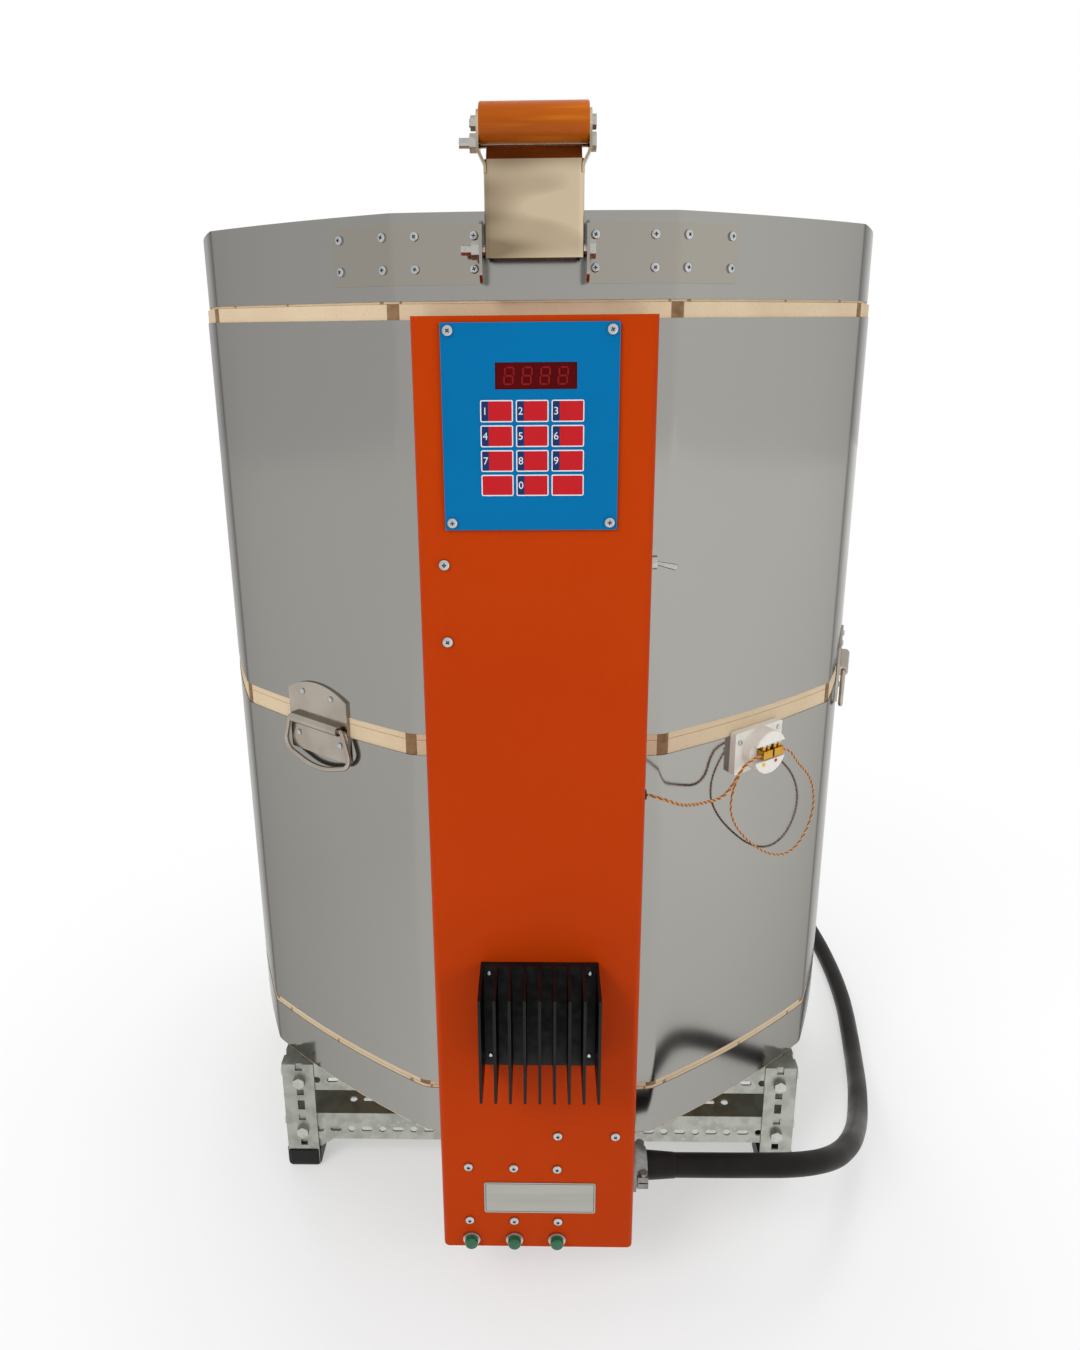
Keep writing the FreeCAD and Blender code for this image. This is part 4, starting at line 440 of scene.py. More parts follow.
LEAD_DIAMETER = 0.0030
LEAD_PITCH = 0.0075
LOOP_DIAMETER = 0.0024
LOOP_PITCH = 0.0080
lead_points = [Vector((x, y + axis_y, z)) for x, y, z in
               ((0.101, -0.425, 0.579), (0.117, -0.424, 0.574),
                (0.135, -0.412, 0.561), (0.154, -0.388, 0.550))]
lead_points += [on_block_side(*place) for place in
                ((-0.082, 0.400, -0.033), (-0.064, 0.398, -0.036), (-0.051, 0.399, -0.028),
                 (-0.044, 0.402, -0.013), (-0.034, 0.404, -0.002), (-0.0147, 0.404, 0.0))]
loop_points = [on_block_side(*place) for place in
               ((-0.028, 0.397, -0.007), (-0.038, 0.3965, -0.018), (-0.046, 0.396, -0.036),
                (-0.046, 0.395, -0.057), (-0.034, 0.393, -0.079), (-0.014, 0.392, -0.101),
                (0.008, 0.392, -0.120), (0.032, 0.392, -0.134), (0.056, 0.391, -0.139),
                (0.077, 0.389, -0.131), (0.091, 0.388, -0.113), (0.095, 0.388, -0.091),
                (0.088, 0.390, -0.068), (0.073, 0.394, -0.048), (0.055, 0.398, -0.033),
                (0.039, 0.402, -0.018), (0.028, 0.404, -0.005), (0.0147, 0.404, 0.0))]
orange_yarn = finish("orange_yarn", srgb(222, 160, 96), 0.8)
emboss(orange_yarn, grain(orange_yarn, 2600.0), 0.0001)
dark_yarn = finish("dark_yarn", srgb(150, 98, 60), 0.8)
emboss(dark_yarn, grain(dark_yarn, 2600.0), 0.0001)


STEPS_PER_TWIST = 8
STRAND_FIT = 1.08


def twisted_pair(name, points, diameter, pitch):
    """Two strands wound round one smooth line, each a fine wire in its own sleeve."""
    line = flex_curve(name + "_line", points, 0.0)
    line.data.use_fill_caps = False
    followed = bpy.data.meshes.new_from_object(line)
    path = [vertex.co.copy() for vertex in followed.vertices]
    bpy.data.objects.remove(line)
    distance = [0.0]
    for before, after in zip(path, path[1:]):
        distance.append(distance[-1] + (after - before).length)
    steps = int(distance[-1] / pitch * STEPS_PER_TWIST)
    spots = []
    segment = 0
    for step in range(steps + 1):
        target = distance[-1] * step / steps
        while segment < len(path) - 2 and distance[segment + 1] < target:
            segment += 1
        share = (target - distance[segment]) / (distance[segment + 1] - distance[segment])
        before, after = path[segment], path[segment + 1]
        spots.append((before.lerp(after, share), after - before, target))
    strands = []
    for side, yarn in enumerate((orange_yarn, dark_yarn)):
        across = spots[0][1].orthogonal().normalized()
        curve = bpy.data.curves.new(name, "CURVE")
        curve.dimensions = "3D"
        curve.bevel_depth = diameter / 4 * STRAND_FIT
        curve.bevel_resolution = 1
        curve.use_fill_caps = True
        spline = curve.splines.new("POLY")
        spline.points.add(len(spots) - 1)
        for point, (place, heading, target) in zip(spline.points, spots):
            heading = heading.normalized()
            across = (across - heading * across.dot(heading)).normalized()
            turn = 2 * math.pi * target / pitch + math.pi * side
            arm = across * math.cos(turn) + heading.cross(across) * math.sin(turn)
            point.co = (*(place + arm * diameter / 4), 1.0)
        strand = bpy.data.objects.new(name, curve)
        bpy.context.scene.collection.objects.link(strand)
        select_only(strand)
        bpy.ops.object.convert(target="MESH")
        bpy.ops.object.shade_smooth()
        strand.data.materials.append(yarn)
        strands.append(strand)
    select_only(strands[0])
    strands[1].select_set(True)
    bpy.ops.object.join()
    pair = strands[0]
    pair.name = name
    keep(pair, "thermocouple_lead")


twisted_pair("lead_pair", lead_points, LEAD_DIAMETER, LEAD_PITCH)
twisted_pair("spare_loop", loop_points, LOOP_DIAMETER, LOOP_PITCH)


# Stand
# Four legs of galvanised slotted angle in black rubber boots, joined by two frames of the same angle
# with gussets and bolts. The control box's back pan is of the same galvanised sheet.
galvanised = finish("galvanised", (0.40, 0.415, 0.385), 0.38, 1.0)
stain(galvanised, grain(galvanised, 55.0, detail=1.0), (0.30, 0.315, 0.285), 0.42, 0.6, 0.8)
stain(galvanised, grain(galvanised, 240.0), (0.50, 0.51, 0.48), 0.58, 0.72, 0.6)
vary_gloss(galvanised, grain(galvanised, 50.0), 0.3, 0.5)
for node in ("box_back_pan", "stand_legs", "stand_rails", "stand_gussets"):
    smooth_node(node, galvanised)
foot_rubber = finish("foot_rubber", srgb(22, 22, 22), 0.6, gloss=0.25)
emboss(foot_rubber, grain(foot_rubber, 420.0), 0.0001)
for node in ("rubber_feet", "lead_grommet"):
    smooth_node(node, foot_rubber)


# Firebrick
# Soft cream insulating brick, cut to ten sides and laid in courses. It shows inside the chamber and as
# the bands between the jackets.
def lines_along(material, axis, start, pitch, width):
    """1 on thin lines that repeat along an axis, 0 between them."""
    nodes, links = material.node_tree.nodes, material.node_tree.links
    place = nodes.new("ShaderNodeTexCoord")
    split = nodes.new("ShaderNodeSeparateXYZ")
    links.new(place.outputs["Object"], split.inputs[0])
    source = split.outputs[axis]
    for operation, value in (("SUBTRACT", start - width / 2), ("FLOORED_MODULO", pitch),
                             ("LESS_THAN", width)):
        step = nodes.new("ShaderNodeMath")
        step.operation = operation
        links.new(source, step.inputs[0])
        step.inputs[1].default_value = value
        source = step.outputs[0]
    return source


def brick_finish(name, colour):
    material = finish(name, colour, 0.92)
    stain(material, grain(material, 9.0, detail=5.0), srgb(222, 202, 172), 0.4, 0.7, 0.6)
    stain(material, grain(material, 520.0), srgb(176, 150, 116), 0.62, 0.74, 0.6)
    emboss(material, grain(material, 330.0, detail=5.0), 0.0004)
    emboss(material, grain(material, 60.0), 0.0005)
    return material


def coat_node(node, material):
    """A CAD node whose flat faces need no smoothing keeps its mesh and takes the finish."""
    piece = frame["nodes"][node]
    piece.data.materials.clear()
    piece.data.materials.append(material)


COURSE = 0.1143
JOINT = 0.0010
BRICK_LENGTH = 0.2286
SLAB_JOINT = 0.0012
ring_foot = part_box("lower_ring_bricks")[0].z
seam_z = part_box("upper_ring_bricks")[0].z
joint_shadow = srgb(140, 112, 80)
for node, foot in (("lower_ring_bricks", ring_foot), ("upper_ring_bricks", seam_z)):
    ring_brick = brick_finish(node + "_brick", srgb(208, 186, 155))
    stain(ring_brick, lines_along(ring_brick, 2, foot, COURSE, JOINT), joint_shadow, 0.2, 0.8)
    coat_node(node, ring_brick)

slab_brick = brick_finish("slab_brick", srgb(212, 190, 160))
slab_rows = slab_brick.node_tree.nodes.new("ShaderNodeTexBrick")
slab_place = slab_brick.node_tree.nodes.new("ShaderNodeTexCoord")
slab_brick.node_tree.links.new(slab_place.outputs["Object"], slab_rows.inputs["Vector"])
for socket, level in (("Color1", 0.0), ("Color2", 0.0), ("Mortar", 1.0)):
    slab_rows.inputs[socket].default_value = (level, level, level, 1.0)
for socket, size in (("Scale", 1.0), ("Mortar Size", SLAB_JOINT), ("Brick Width", BRICK_LENGTH),
                     ("Row Height", COURSE)):
    slab_rows.inputs[socket].default_value = size
stain(slab_brick, slab_rows.outputs["Color"], joint_shadow, 0.2, 0.8, 0.85)
for node in ("base_slab", "lid_slab"):
    coat_node(node, slab_brick)

mortar = finish("refractory_mortar", srgb(140, 112, 82), 0.95)
stain(mortar, grain(mortar, 120.0), srgb(110, 84, 58), 0.45, 0.7, 0.8)
emboss(mortar, grain(mortar, 420.0, detail=5.0), 0.0008)
coat_node("ring_mortar", mortar)


# Heating elements
# Close-wound coils of resistance wire that lie in the brick grooves, eight in all, dulled by firing.
element_wire = finish("element_wire", (0.17, 0.155, 0.14), 0.5, 1.0)
stain(element_wire, grain(element_wire, 60.0), (0.10, 0.09, 0.085), 0.45, 0.65, 0.8)
smooth_node("heating_elements", element_wire)


# Steel jackets and bands
# Thin polished stainless sheet drawn round the bricks. It shows soft broad reflections, wiping marks and
# the cord that lies beside it.
jacket_steel = finish("jacket_steel", (0.345, 0.341, 0.328), 0.15, 1.0)
jacket_shader = jacket_steel.node_tree.nodes["Principled BSDF"]
jacket_shader.inputs["Specular Tint"].default_value = (0.30, 0.30, 0.30, 1.0)
stain(jacket_steel, grain(jacket_steel, 1.6, (1.0, 1.0, 0.5), 2.0), (0.305, 0.302, 0.290), 0.35, 0.7, 0.8)
vary_gloss(jacket_steel, grain(jacket_steel, 5.0, (1.0, 1.0, 0.6), 4.0), 0.10, 0.17)
emboss(jacket_steel, grain(jacket_steel, 3.2, (1.0, 1.0, 0.6), 1.0), 0.0012)
for node in ("base_band", "lower_jacket", "upper_jacket", "lid_band"):
    smooth_node(node, jacket_steel)


# Screws and rivets
# Pan heads with a cross recess hold the sheet metal; plain domed rivets hold the handle plates.
RIM_ROUNDING = 0.42
RECESS_REACH = 0.52
RECESS_WIDTH = 0.15
RECESS_FLOOR = 0.45
END_TAPER = 0.55
SIDE_TAPER = 0.8
HEAD_TURN = math.radians(37.0)
RIVET_LIMIT = 0.00335


def loose_parts(node):
    """Each separate solid of a node, as the array of its points."""
    mesh = bmesh.new()
    mesh.from_mesh(frame["nodes"][node].data)
    bmesh.ops.remove_doubles(mesh, verts=mesh.verts, dist=0.00001)
    waiting = set(mesh.verts)
    parts = []
    for first in mesh.verts:
        if first not in waiting:
            continue
        waiting.discard(first)
        queue, found = [first], []
        while queue:
            vertex = queue.pop()
            found.append(tuple(vertex.co))
            for edge in vertex.link_edges:
                other = edge.other_vert(vertex)
                if other in waiting:
                    waiting.discard(other)
                    queue.append(other)
        parts.append(np.array(found))
    mesh.free()
    return parts


def head_seat(points):
    """Where a round head sits: the middle of its base, the way it faces, its radius and its height."""
    middle = points.mean(axis=0)
    way = np.linalg.svd(points - middle, full_matrices=False)[2][2]
    if way @ (middle - np.array([0.0, axis_y, middle[2]])) < 0:
        way = -way
    heights = points @ way
    level = points - np.outer(heights, way)
    core = (level.max(axis=0) + level.min(axis=0)) / 2
    radius = np.linalg.norm(level - core, axis=1).max()
    return Vector(core + way * heights.min()), Vector(way), radius, heights.max() - heights.min()


def leave_two_slots(piece):
    """Room for the metal of the head and the painted shade of its recess."""
    while len(piece.data.materials) < 2:
        piece.data.materials.append(None)


def pan_head(name, recessed):
    """A screw head of radius 1 and height 1 that stands on z = 0, domed at its rim."""
    bpy.ops.object.select_all(action="DESELECT")
    bpy.ops.mesh.primitive_cylinder_add(vertices=28, radius=1.0, depth=1.0, location=(0, 0, 0.5))
    head = bpy.context.object
    head.name = name
    edit(head)
    pick("edges", lambda middle, element: element.verts[0].co.z > 0.4 and element.verts[1].co.z > 0.4)
    bpy.ops.mesh.bevel(offset=RIM_ROUNDING, segments=4, affect="EDGES")
    close()
    if recessed:
        for size in ((RECESS_REACH, RECESS_WIDTH), (RECESS_WIDTH, RECESS_REACH)):
            bpy.ops.object.select_all(action="DESELECT")
            bpy.ops.mesh.primitive_cube_add(size=1.0, location=(0, 0, RECESS_FLOOR + 0.5))
            blade = bpy.context.object
            blade.scale = (2 * size[0], 2 * size[1], 1.0)
            edit(blade)
            pick("verts", lambda middle, element: middle.z < 0)
            narrowing = (END_TAPER, SIDE_TAPER, 1.0) if size[0] > size[1] else (SIDE_TAPER, END_TAPER, 1.0)
            bpy.ops.transform.resize(value=narrowing)
            close()
            leave_two_slots(blade)
            # The cut leaves these faces as the recess's walls and floor, in the slot that holds its painted
            # shade.
            for face in blade.data.polygons:
                face.material_index = 1
            leave_two_slots(head)
            cut = head.modifiers.new("recess", "BOOLEAN")
            cut.operation = "DIFFERENCE"
            cut.solver = "EXACT"
            cut.object = blade
            select_only(head)
            bpy.ops.object.modifier_apply(modifier="recess")
            bpy.data.objects.remove(blade)
        bpy.ops.object.shade_smooth_by_angle(angle=SMOOTH_ANGLE)
    return head


def head_set(node, material, recess, is_plain):
    """All the heads of a node as one piece, copied from the cross head or the plain one."""
    gathered = bmesh.new()
    for number, points in enumerate(loose_parts(node)):
        seat, way, radius, height = head_seat(points)
        master = plain_head if is_plain(radius) else cross_head
        copy = master.data.copy()
        place = Matrix.Translation(seat) @ way.to_track_quat("Z", "Y").to_matrix().to_4x4()
        copy.transform(place @ Matrix.Rotation(HEAD_TURN * number, 4, "Z")
                       @ Matrix.Diagonal((radius, radius, height, 1.0)))
        gathered.from_mesh(copy)
        bpy.data.meshes.remove(copy)
    data = bpy.data.meshes.new(node + "_heads")
    gathered.to_mesh(data)
    gathered.free()
    data.materials.append(material)
    # The second slot holds the painted shade of the recesses.
    data.materials.append(recess)
    heads = bpy.data.objects.new(node + "_heads", data)
    bpy.context.scene.collection.objects.link(heads)
    select_only(heads)
    bpy.ops.object.shade_smooth_by_angle(angle=SMOOTH_ANGLE)
    keep(heads, node)


screw_zinc = finish("screw_zinc", (0.52, 0.54, 0.56), 0.22, 1.0)
stain(screw_zinc, grain(screw_zinc, 260.0), (0.34, 0.36, 0.39), 0.5, 0.72, 0.7)
vary_gloss(screw_zinc, grain(screw_zinc, 120.0), 0.16, 0.34)
# The recess of each cross head gets this much darker copy of the zinc: painted shade in the hollow, not a
# different metal.
screw_recess_shade = finish("screw_recess_shade", (0.10, 0.12, 0.15), 0.4, 1.0)
stain(screw_recess_shade, grain(screw_recess_shade, 400.0), (0.05, 0.06, 0.08), 0.45, 0.65, 0.8)
cross_head = pan_head("cross_head", True)
plain_head = pan_head("plain_head", False)
for node in ("box_screws", "lid_screws", "body_screws"):
    head_set(node, screw_zinc, screw_recess_shade, lambda radius: radius < RIVET_LIMIT)
bpy.data.objects.remove(cross_head)
bpy.data.objects.remove(plain_head)


# Lid fittings, hinge and bolts
# Polished plates bent round the lid's corners, the handle's pressed channel, the hinge's leaves, and
# zinc-plated bolts and switch. The cord's clamp is a dull casting.
fitting_steel = finish("fitting_steel", (0.345, 0.33, 0.295), 0.14, 1.0)
vary_gloss(fitting_steel, grain(fitting_steel, 30.0), 0.10, 0.20)
emboss(fitting_steel, grain(fitting_steel, 14.0), 0.0003)
for node in ("lid_plates", "lid_hinge_leaf", "body_hinge_leaf"):
    smooth_node(node, fitting_steel)
# The channel's warm brown colour and its dark brown streaks are a painted reflection of the wooden grip above
# it, laid over the steel's own tone.
channel_steel_and_grip_reflection = finish("channel_steel_and_grip_reflection", (0.62, 0.51, 0.36), 0.12, 1.0)
stain(channel_steel_and_grip_reflection, grain(channel_steel_and_grip_reflection, 30.0, (0.25, 1.0, 1.0), 1.0), (0.22, 0.165, 0.105), 0.42, 0.62, 0.9)
vary_gloss(channel_steel_and_grip_reflection, grain(channel_steel_and_grip_reflection, 60.0), 0.08, 0.16)
emboss(channel_steel_and_grip_reflection, grain(channel_steel_and_grip_reflection, 22.0, (0.3, 1.0, 1.0), 1.0), 0.0030)
smooth_node("handle_channel", channel_steel_and_grip_reflection)
zinc_plate = finish("zinc_plate", (0.50, 0.50, 0.48), 0.24, 1.0)
stain(zinc_plate, grain(zinc_plate, 190.0), (0.36, 0.355, 0.34), 0.5, 0.75, 0.7)
vary_gloss(zinc_plate, grain(zinc_plate, 90.0), 0.18, 0.34)
for node in ("hinge_pin", "handle_pivot_bolt", "handle_bolts", "stand_bolts", "toggle_body", "toggle_lever",
             "lamp_rings"):
    smooth_node(node, zinc_plate)
cast_metal = finish("cast_metal", (0.30, 0.30, 0.29), 0.5, 1.0)
stain(cast_metal, grain(cast_metal, 130.0), (0.20, 0.20, 0.195), 0.45, 0.7, 0.8)
emboss(cast_metal, grain(cast_metal, 480.0), 0.0002)
smooth_node("cord_connector", cast_metal)


# Drop handles
# Nickel-plated pressings riveted over the middle seam, each with a bail of round wire that hangs in its
# rolled barrel.
warm_nickel = finish("warm_nickel", (0.46, 0.42, 0.37), 0.16, 1.0)
stain(warm_nickel, grain(warm_nickel, 24.0), (0.36, 0.32, 0.275), 0.42, 0.66, 0.7)
vary_gloss(warm_nickel, grain(warm_nickel, 70.0), 0.12, 0.26)
emboss(warm_nickel, grain(warm_nickel, 30.0), 0.0003)
for node in ("handle_plates", "bail_front_left", "bail_right", "bail_rear_right", "bail_left"):
    smooth_node(node, warm_nickel)


# Wooden grip
# A turned hardwood rod under orange varnish, with its grain running along it.
grip_wood = finish("grip_wood", srgb(176, 86, 4), 0.3, gloss=0.16)
stain(grip_wood, grain(grip_wood, 26.0, (0.12, 1.0, 1.0), 5.0), srgb(138, 60, 4), 0.42, 0.66, 0.8)
stain(grip_wood, grain(grip_wood, 170.0, (0.05, 1.0, 1.0), 4.0), srgb(196, 112, 22), 0.5, 0.7, 0.6)
vary_gloss(grip_wood, grain(grip_wood, 60.0, (0.2, 1.0, 1.0)), 0.24, 0.4)
emboss(grip_wood, grain(grip_wood, 170.0, (0.05, 1.0, 1.0), 4.0), 0.00012)
smooth_node("wooden_grip", grip_wood)


# Control box
# Folded sheet steel, powder coated orange, over a galvanised pan.
powder_coat = finish("powder_coat", srgb(181, 57, 0), 0.40, gloss=0.05)
stain(powder_coat, grain(powder_coat, 3.0), srgb(174, 53, 0), 0.4, 0.7, 0.6)
vary_gloss(powder_coat, grain(powder_coat, 30.0), 0.32, 0.46)
emboss(powder_coat, grain(powder_coat, 850.0, detail=1.0), 0.00005)
smooth_node("box_cover", powder_coat)

plate_blue = finish("plate_blue", srgb(0, 106, 160), 0.38, gloss=0.05)
stain(plate_blue, grain(plate_blue, 12.0), srgb(0, 101, 154), 0.4, 0.7, 0.7)
emboss(plate_blue, grain(plate_blue, 900.0), 0.00002)
smooth_node("controller_plate", plate_blue)


# Keypad
# Twelve raised film keys: a white frame, a red face and, on ten of them, a navy strip with the key's digit.
def shaped_block(name, low, high, radius):
    """A block from corner to corner, with its edges along y rounded."""
    bpy.ops.object.select_all(action="DESELECT")
    bpy.ops.mesh.primitive_cube_add(size=1.0, location=(low + high) / 2)
    block = bpy.context.object
    block.name = name
    block.scale = high - low
    bpy.ops.object.transform_apply(location=True, rotation=True, scale=True)
    edit(block)
    pick("edges", lambda middle, element: abs(element.verts[0].co.y - element.verts[1].co.y) > 1e-5
         and (element.verts[0].co - element.verts[1].co).xz.length < 1e-6)
    bpy.ops.mesh.bevel(offset=radius, segments=4, affect="EDGES")
    pick("faces", lambda middle, element: abs(middle.y - low.y) < 1e-6)
    return block


INK_DEPTH = 0.00006


def facing_text(name, body, size, place, material):
    """A flat character that stands a hair in front of its surface and faces the front."""
    bpy.ops.object.select_all(action="DESELECT")
    bpy.ops.object.text_add(location=(0, 0, 0))
    sign = bpy.context.object
    sign.name = name
    sign.data.body = body
    sign.data.size = size
    sign.data.extrude = INK_DEPTH
    sign.data.align_x = "CENTER"
    sign.data.align_y = "CENTER"
    sign.data.resolution_u = 4
    bpy.ops.object.convert(target="MESH")
    sign.data.transform(Matrix.Translation(place) @ Matrix.Rotation(math.radians(90), 4, "X"))
    sign.data.materials.clear()
    sign.data.materials.append(material)
    return sign


key_white = finish("key_white", srgb(214, 216, 222), 0.42)
key_red = finish("key_red", srgb(184, 24, 32), 0.36)
key_navy = finish("key_navy", srgb(20, 44, 92), 0.38)
for film in (key_white, key_red, key_navy):
    emboss(film, grain(film, 1400.0), 0.00002)
FRAME_WIDTH = 0.0009
STRIP_WIDTH = 0.0056
KEY_CORNER = 0.0015
DIGIT_SIZE = 0.0084
DIGIT_DROP = 0.0002
FRAME_AREA = 0.00003
DIGIT_LIFT = 0.00005
key_parts = sorted(loose_parts("keypad"),
                   key=lambda points: (-round(points[:, 2].mean(), 3), points[:, 0].mean()))
key_pieces = []
for number, points in enumerate(key_parts):
    low, high = Vector(points.min(axis=0)), Vector(points.max(axis=0))
    digit = ("1", "2", "3", "4", "5", "6", "7", "8", "9", "", "0", "")[number]
    key = shaped_block("key", low, high, KEY_CORNER)
    bpy.ops.mesh.inset(thickness=FRAME_WIDTH, depth=0.0)
    strip_end = low.x + FRAME_WIDTH + STRIP_WIDTH
    if digit:
        bpy.ops.mesh.bisect(plane_co=(strip_end, 0, 0), plane_no=(1, 0, 0))
    bpy.ops.object.mode_set(mode="OBJECT")
    for material in (key_white, key_red, key_navy):
        key.data.materials.append(material)
    for face in key.data.polygons:
        inside = (abs(face.center.y - low.y) < 1e-6 and face.area > FRAME_AREA
                  and low.x + FRAME_WIDTH < face.center.x < high.x - FRAME_WIDTH)
        face.material_index = 0 if not inside else (2 if digit and face.center.x < strip_end else 1)
    key_pieces.append(key)
    if digit:
        middle = Vector((low.x + FRAME_WIDTH + STRIP_WIDTH / 2, low.y - DIGIT_LIFT,
                         (low.z + high.z) / 2 - DIGIT_DROP))
        key_pieces.append(facing_text("digit", digit, DIGIT_SIZE, middle, key_white))
select_only(key_pieces[0])
for piece in key_pieces:
    piece.select_set(True)
bpy.ops.object.join()
keypad = key_pieces[0]
keypad.name = "keypad_film"
keep(keypad, "keypad")


# Display
# A dark red pane over four seven-segment digits that are off and barely show.
window_red = finish("window_red", srgb(84, 0, 6), 0.15, gloss=0.06)
stain(window_red, grain(window_red, 30.0), srgb(70, 0, 5), 0.4, 0.7, 0.6)
display_pane = smooth_node("display_window", window_red)
segment_red = finish("segment_red", srgb(132, 14, 16), 0.4)
stain(segment_red, grain(segment_red, 300.0), srgb(112, 10, 12), 0.4, 0.7, 0.8)
pane_low, pane_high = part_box("display_window")
pane_middle = (pane_low + pane_high) / 2
DIGIT_PITCH = 0.0142
SEGMENT = 0.0056
SEGMENT_WIDTH = 0.0013
SEGMENT_DEPTH = 0.0001
SEGMENT_LIFT = 0.00006
SEGMENT_LEAN = 0.14
SEGMENT_ROUNDING = 0.4
SIDE_GAP = 0.0006
ROW_GAP = 0.0008
bars = []
for digit in range(4):
    centre = pane_middle.x + (digit - 1.5) * DIGIT_PITCH
    for column, row, upright in ((0, 1, False), (0, 0, False), (0, -1, False), (-1, 0.5, True),
                                 (1, 0.5, True), (-1, -0.5, True), (1, -0.5, True)):
        width, height = (SEGMENT_WIDTH, SEGMENT) if upright else (SEGMENT, SEGMENT_WIDTH)
        half = Vector((width / 2, SEGMENT_DEPTH / 2, height / 2))
        lean = row * SEGMENT * SEGMENT_LEAN
        middle = Vector((centre + column * (SEGMENT / 2 + SIDE_GAP) + lean, pane_low.y - SEGMENT_LIFT,
                         pane_middle.z + row * (SEGMENT + ROW_GAP)))
        bars.append(shaped_block("segment", middle - half, middle + half, SEGMENT_WIDTH * SEGMENT_ROUNDING))
        bpy.ops.object.mode_set(mode="OBJECT")
select_only(bars[0])
for bar in bars:
    bar.select_set(True)
bpy.ops.object.join()
display_digits = bars[0]
display_digits.name = "display_digits"
display_digits.data.materials.append(segment_red)
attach(display_digits, "kiln")


# Heat sink, lamps and data plate
# A black anodised extrusion for the relays, three green lamps in chromed rings, and a bare satin plate.
black_anodised = finish("black_anodised", srgb(12, 12, 13), 0.4, gloss=0.2)
stain(black_anodised, grain(black_anodised, 40.0), srgb(24, 24, 25), 0.45, 0.7, 0.7)
vary_gloss(black_anodised, grain(black_anodised, 110.0), 0.32, 0.5)
smooth_node("heat_sink", black_anodised)
lens_green = finish("lens_green", srgb(6, 84, 54), 0.1, gloss=0.5)
stain(lens_green, grain(lens_green, 240.0), srgb(18, 112, 72), 0.45, 0.7, 0.6)
smooth_node("lamp_lenses", lens_green)

plate_satin = finish("plate_satin", (0.42, 0.42, 0.395), 0.34, 1.0)
stain(plate_satin, grain(plate_satin, 60.0, (0.1, 1.0, 1.0)), (0.36, 0.36, 0.34), 0.45, 0.7, 0.7)
vary_gloss(plate_satin, grain(plate_satin, 200.0, (0.05, 1.0, 1.0)), 0.28, 0.42)
plate_line = finish("plate_line", srgb(70, 70, 68), 0.5)
emboss(plate_line, grain(plate_line, 900.0), 0.00002)
name_low, name_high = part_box("data_plate")
PLATE_CORNER = 0.0025
BORDER = 0.0013
GROOVE_WIDTH = 0.0003
GROOVE_DEPTH = 0.0001
data_plate = shaped_block("plain_data_plate", name_low, name_high, PLATE_CORNER)
bpy.ops.mesh.inset(thickness=BORDER, depth=0.0)
bpy.ops.mesh.inset(thickness=GROOVE_WIDTH, depth=-GROOVE_DEPTH)
bpy.ops.mesh.inset(thickness=GROOVE_WIDTH, depth=GROOVE_DEPTH)
bpy.ops.object.mode_set(mode="OBJECT")
data_plate.data.materials.append(plate_satin)
data_plate.data.materials.append(plate_line)
for face in data_plate.data.polygons:
    face.material_index = int(face.center.y > name_low.y + GROOVE_DEPTH / 5 and face.normal.y < -0.5)
keep(data_plate, "data_plate")


# Thermocouple block
# Unglazed porcelain with two brass strips, bright studs and a dot of colour for each of the two wires.
porcelain = finish("porcelain", srgb(226, 222, 214), 0.4, gloss=0.3)
stain(porcelain, grain(porcelain, 70.0), srgb(206, 202, 192), 0.5, 0.75, 0.6)
emboss(porcelain, grain(porcelain, 300.0), 0.0001)
for node in ("thermocouple_block", "thermocouple_tube", "element_bushings"):
    smooth_node(node, porcelain)
brass = finish("brass", srgb(196, 152, 62), 0.28, 1.0)
stain(brass, grain(brass, 150.0), srgb(150, 108, 44), 0.5, 0.72, 0.7)
vary_gloss(brass, grain(brass, 120.0), 0.2, 0.4)
for node in ("thermocouple_terminals", "tail_connectors"):
    smooth_node(node, brass)
BLOCK_FACE = 0.4053


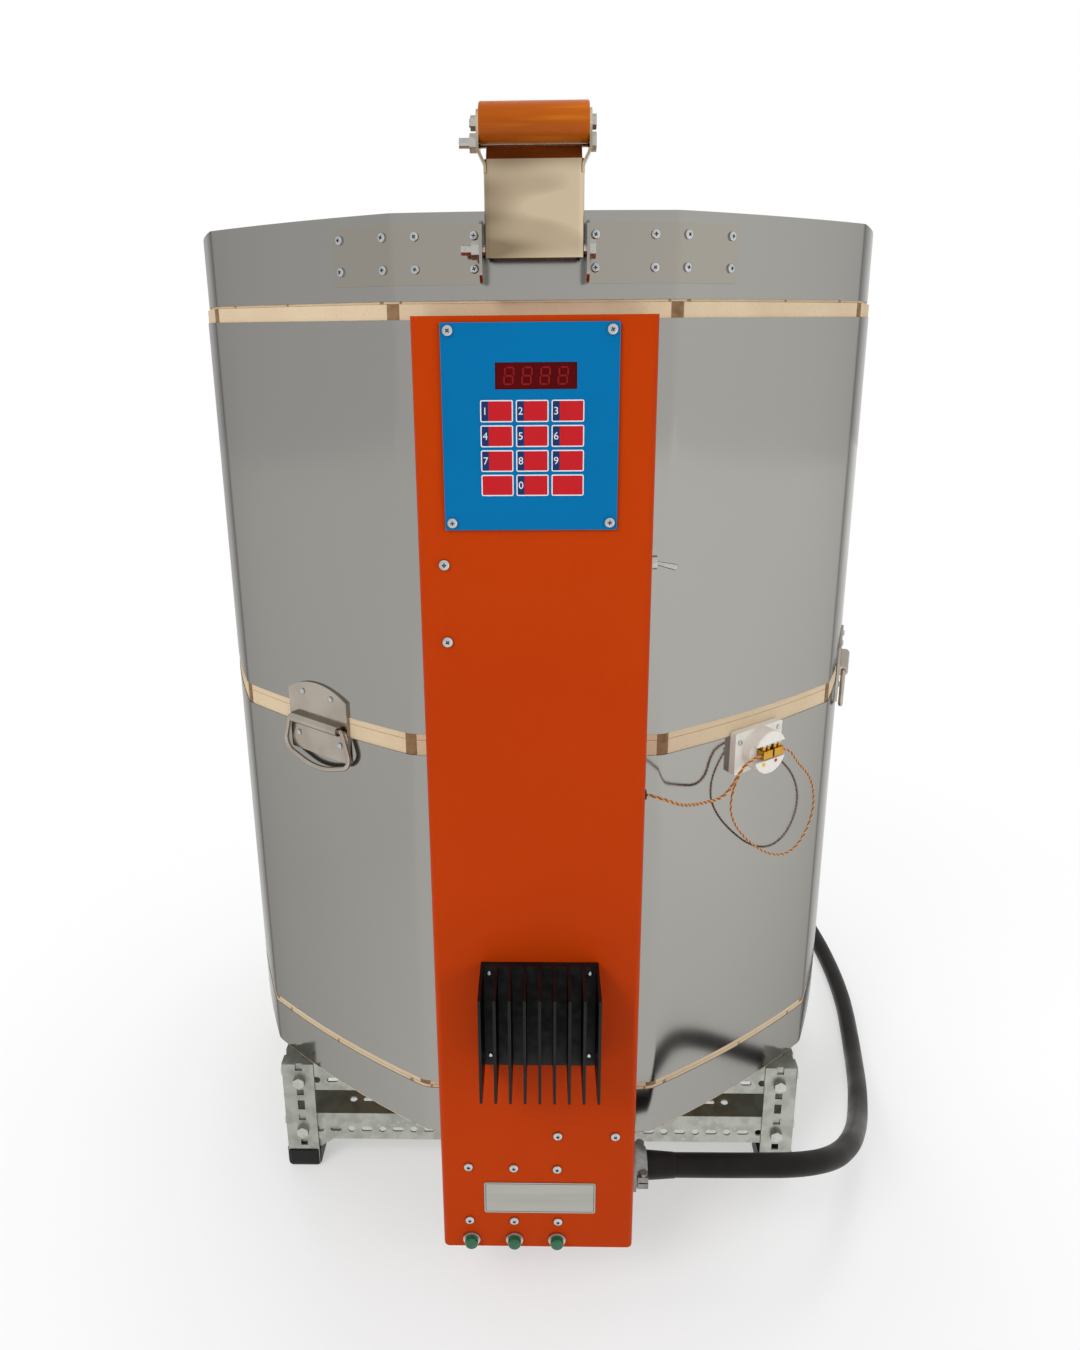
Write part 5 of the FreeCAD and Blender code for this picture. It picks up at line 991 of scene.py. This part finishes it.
def small_dome(name, place, radius, height, material, upright):
    """A low turned head or dot: a short disc with its rim rounded over."""
    bpy.ops.object.select_all(action="DESELECT")
    bpy.ops.mesh.primitive_cylinder_add(vertices=20, radius=radius, depth=height, location=(0, 0, height / 2))
    dome = bpy.context.object
    dome.name = name
    edit(dome)
    pick("edges", lambda middle, element: element.verts[0].co.z > 0 and element.verts[1].co.z > 0)
    bpy.ops.mesh.bevel(offset=min(radius, height) * 0.6, segments=3, affect="EDGES")
    close()
    facing = Matrix.Identity(4) if upright else (Matrix.Rotation(PROBE_TURN, 4, "Z")
                                                 @ Matrix.Rotation(math.radians(90), 4, "X"))
    dome.data.transform(Matrix.Translation(place) @ facing)
    dome.data.materials.append(material)
    return dome


yellow_dot = finish("yellow_dot", srgb(226, 176, 20), 0.4)
red_dot = finish("red_dot", srgb(200, 34, 26), 0.4)
for dot in (yellow_dot, red_dot):
    stain(dot, grain(dot, 500.0), srgb(150, 90, 20), 0.6, 0.8, 0.4)
STUD_RADIUS = 0.0031
STUD_HEIGHT = 0.0024
STUD_SET_BACK = 0.0025
STUD_RISE = 0.0086
DOT_HEIGHT = 0.0006
DOT_SINK = 0.0002
studs = [small_dome("stud", on_block_side(along, BLOCK_FACE - STUD_SET_BACK, STUD_RISE), STUD_RADIUS,
                    STUD_HEIGHT, screw_zinc, True)
         for along in (-0.0111, -0.0046, 0.0046, 0.0111)]
dots = [small_dome("dot", on_block_side(along, BLOCK_FACE - DOT_SINK, rise), radius, DOT_HEIGHT, paint, False)
        for along, rise, radius, paint in ((-0.0125, -0.0105, 0.0022, yellow_dot),
                                           (0.0055, -0.0100, 0.0020, red_dot))]
for name, group, slot in (("terminal_studs", studs, "zinc_plated_steel"), ("wire_dots", dots, "porcelain")):
    select_only(group[0])
    for piece in group:
        piece.select_set(True)
    bpy.ops.object.join()
    group[0].name = name
    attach(group[0], "kiln")


# Inside the control box
# The circuit board, relays, terminal block and transformer, out of sight behind the cover.
board_green = finish("board_green", srgb(18, 92, 44), 0.4)
stain(board_green, grain(board_green, 300.0), srgb(12, 70, 34), 0.5, 0.65, 0.8)
smooth_node("controller_board", board_green)
black_moulding = finish("black_moulding", srgb(26, 26, 27), 0.5, gloss=0.3)
emboss(black_moulding, grain(black_moulding, 700.0), 0.00005)
for node in ("solid_state_relays", "mains_terminal_block"):
    smooth_node(node, black_moulding)
core_iron = finish("core_iron", srgb(96, 84, 70), 0.45, 0.7)
stain(core_iron, grain(core_iron, 900.0, (1.0, 0.05, 0.05)), srgb(60, 50, 42), 0.45, 0.6, 0.8)
smooth_node("control_transformer", core_iron)
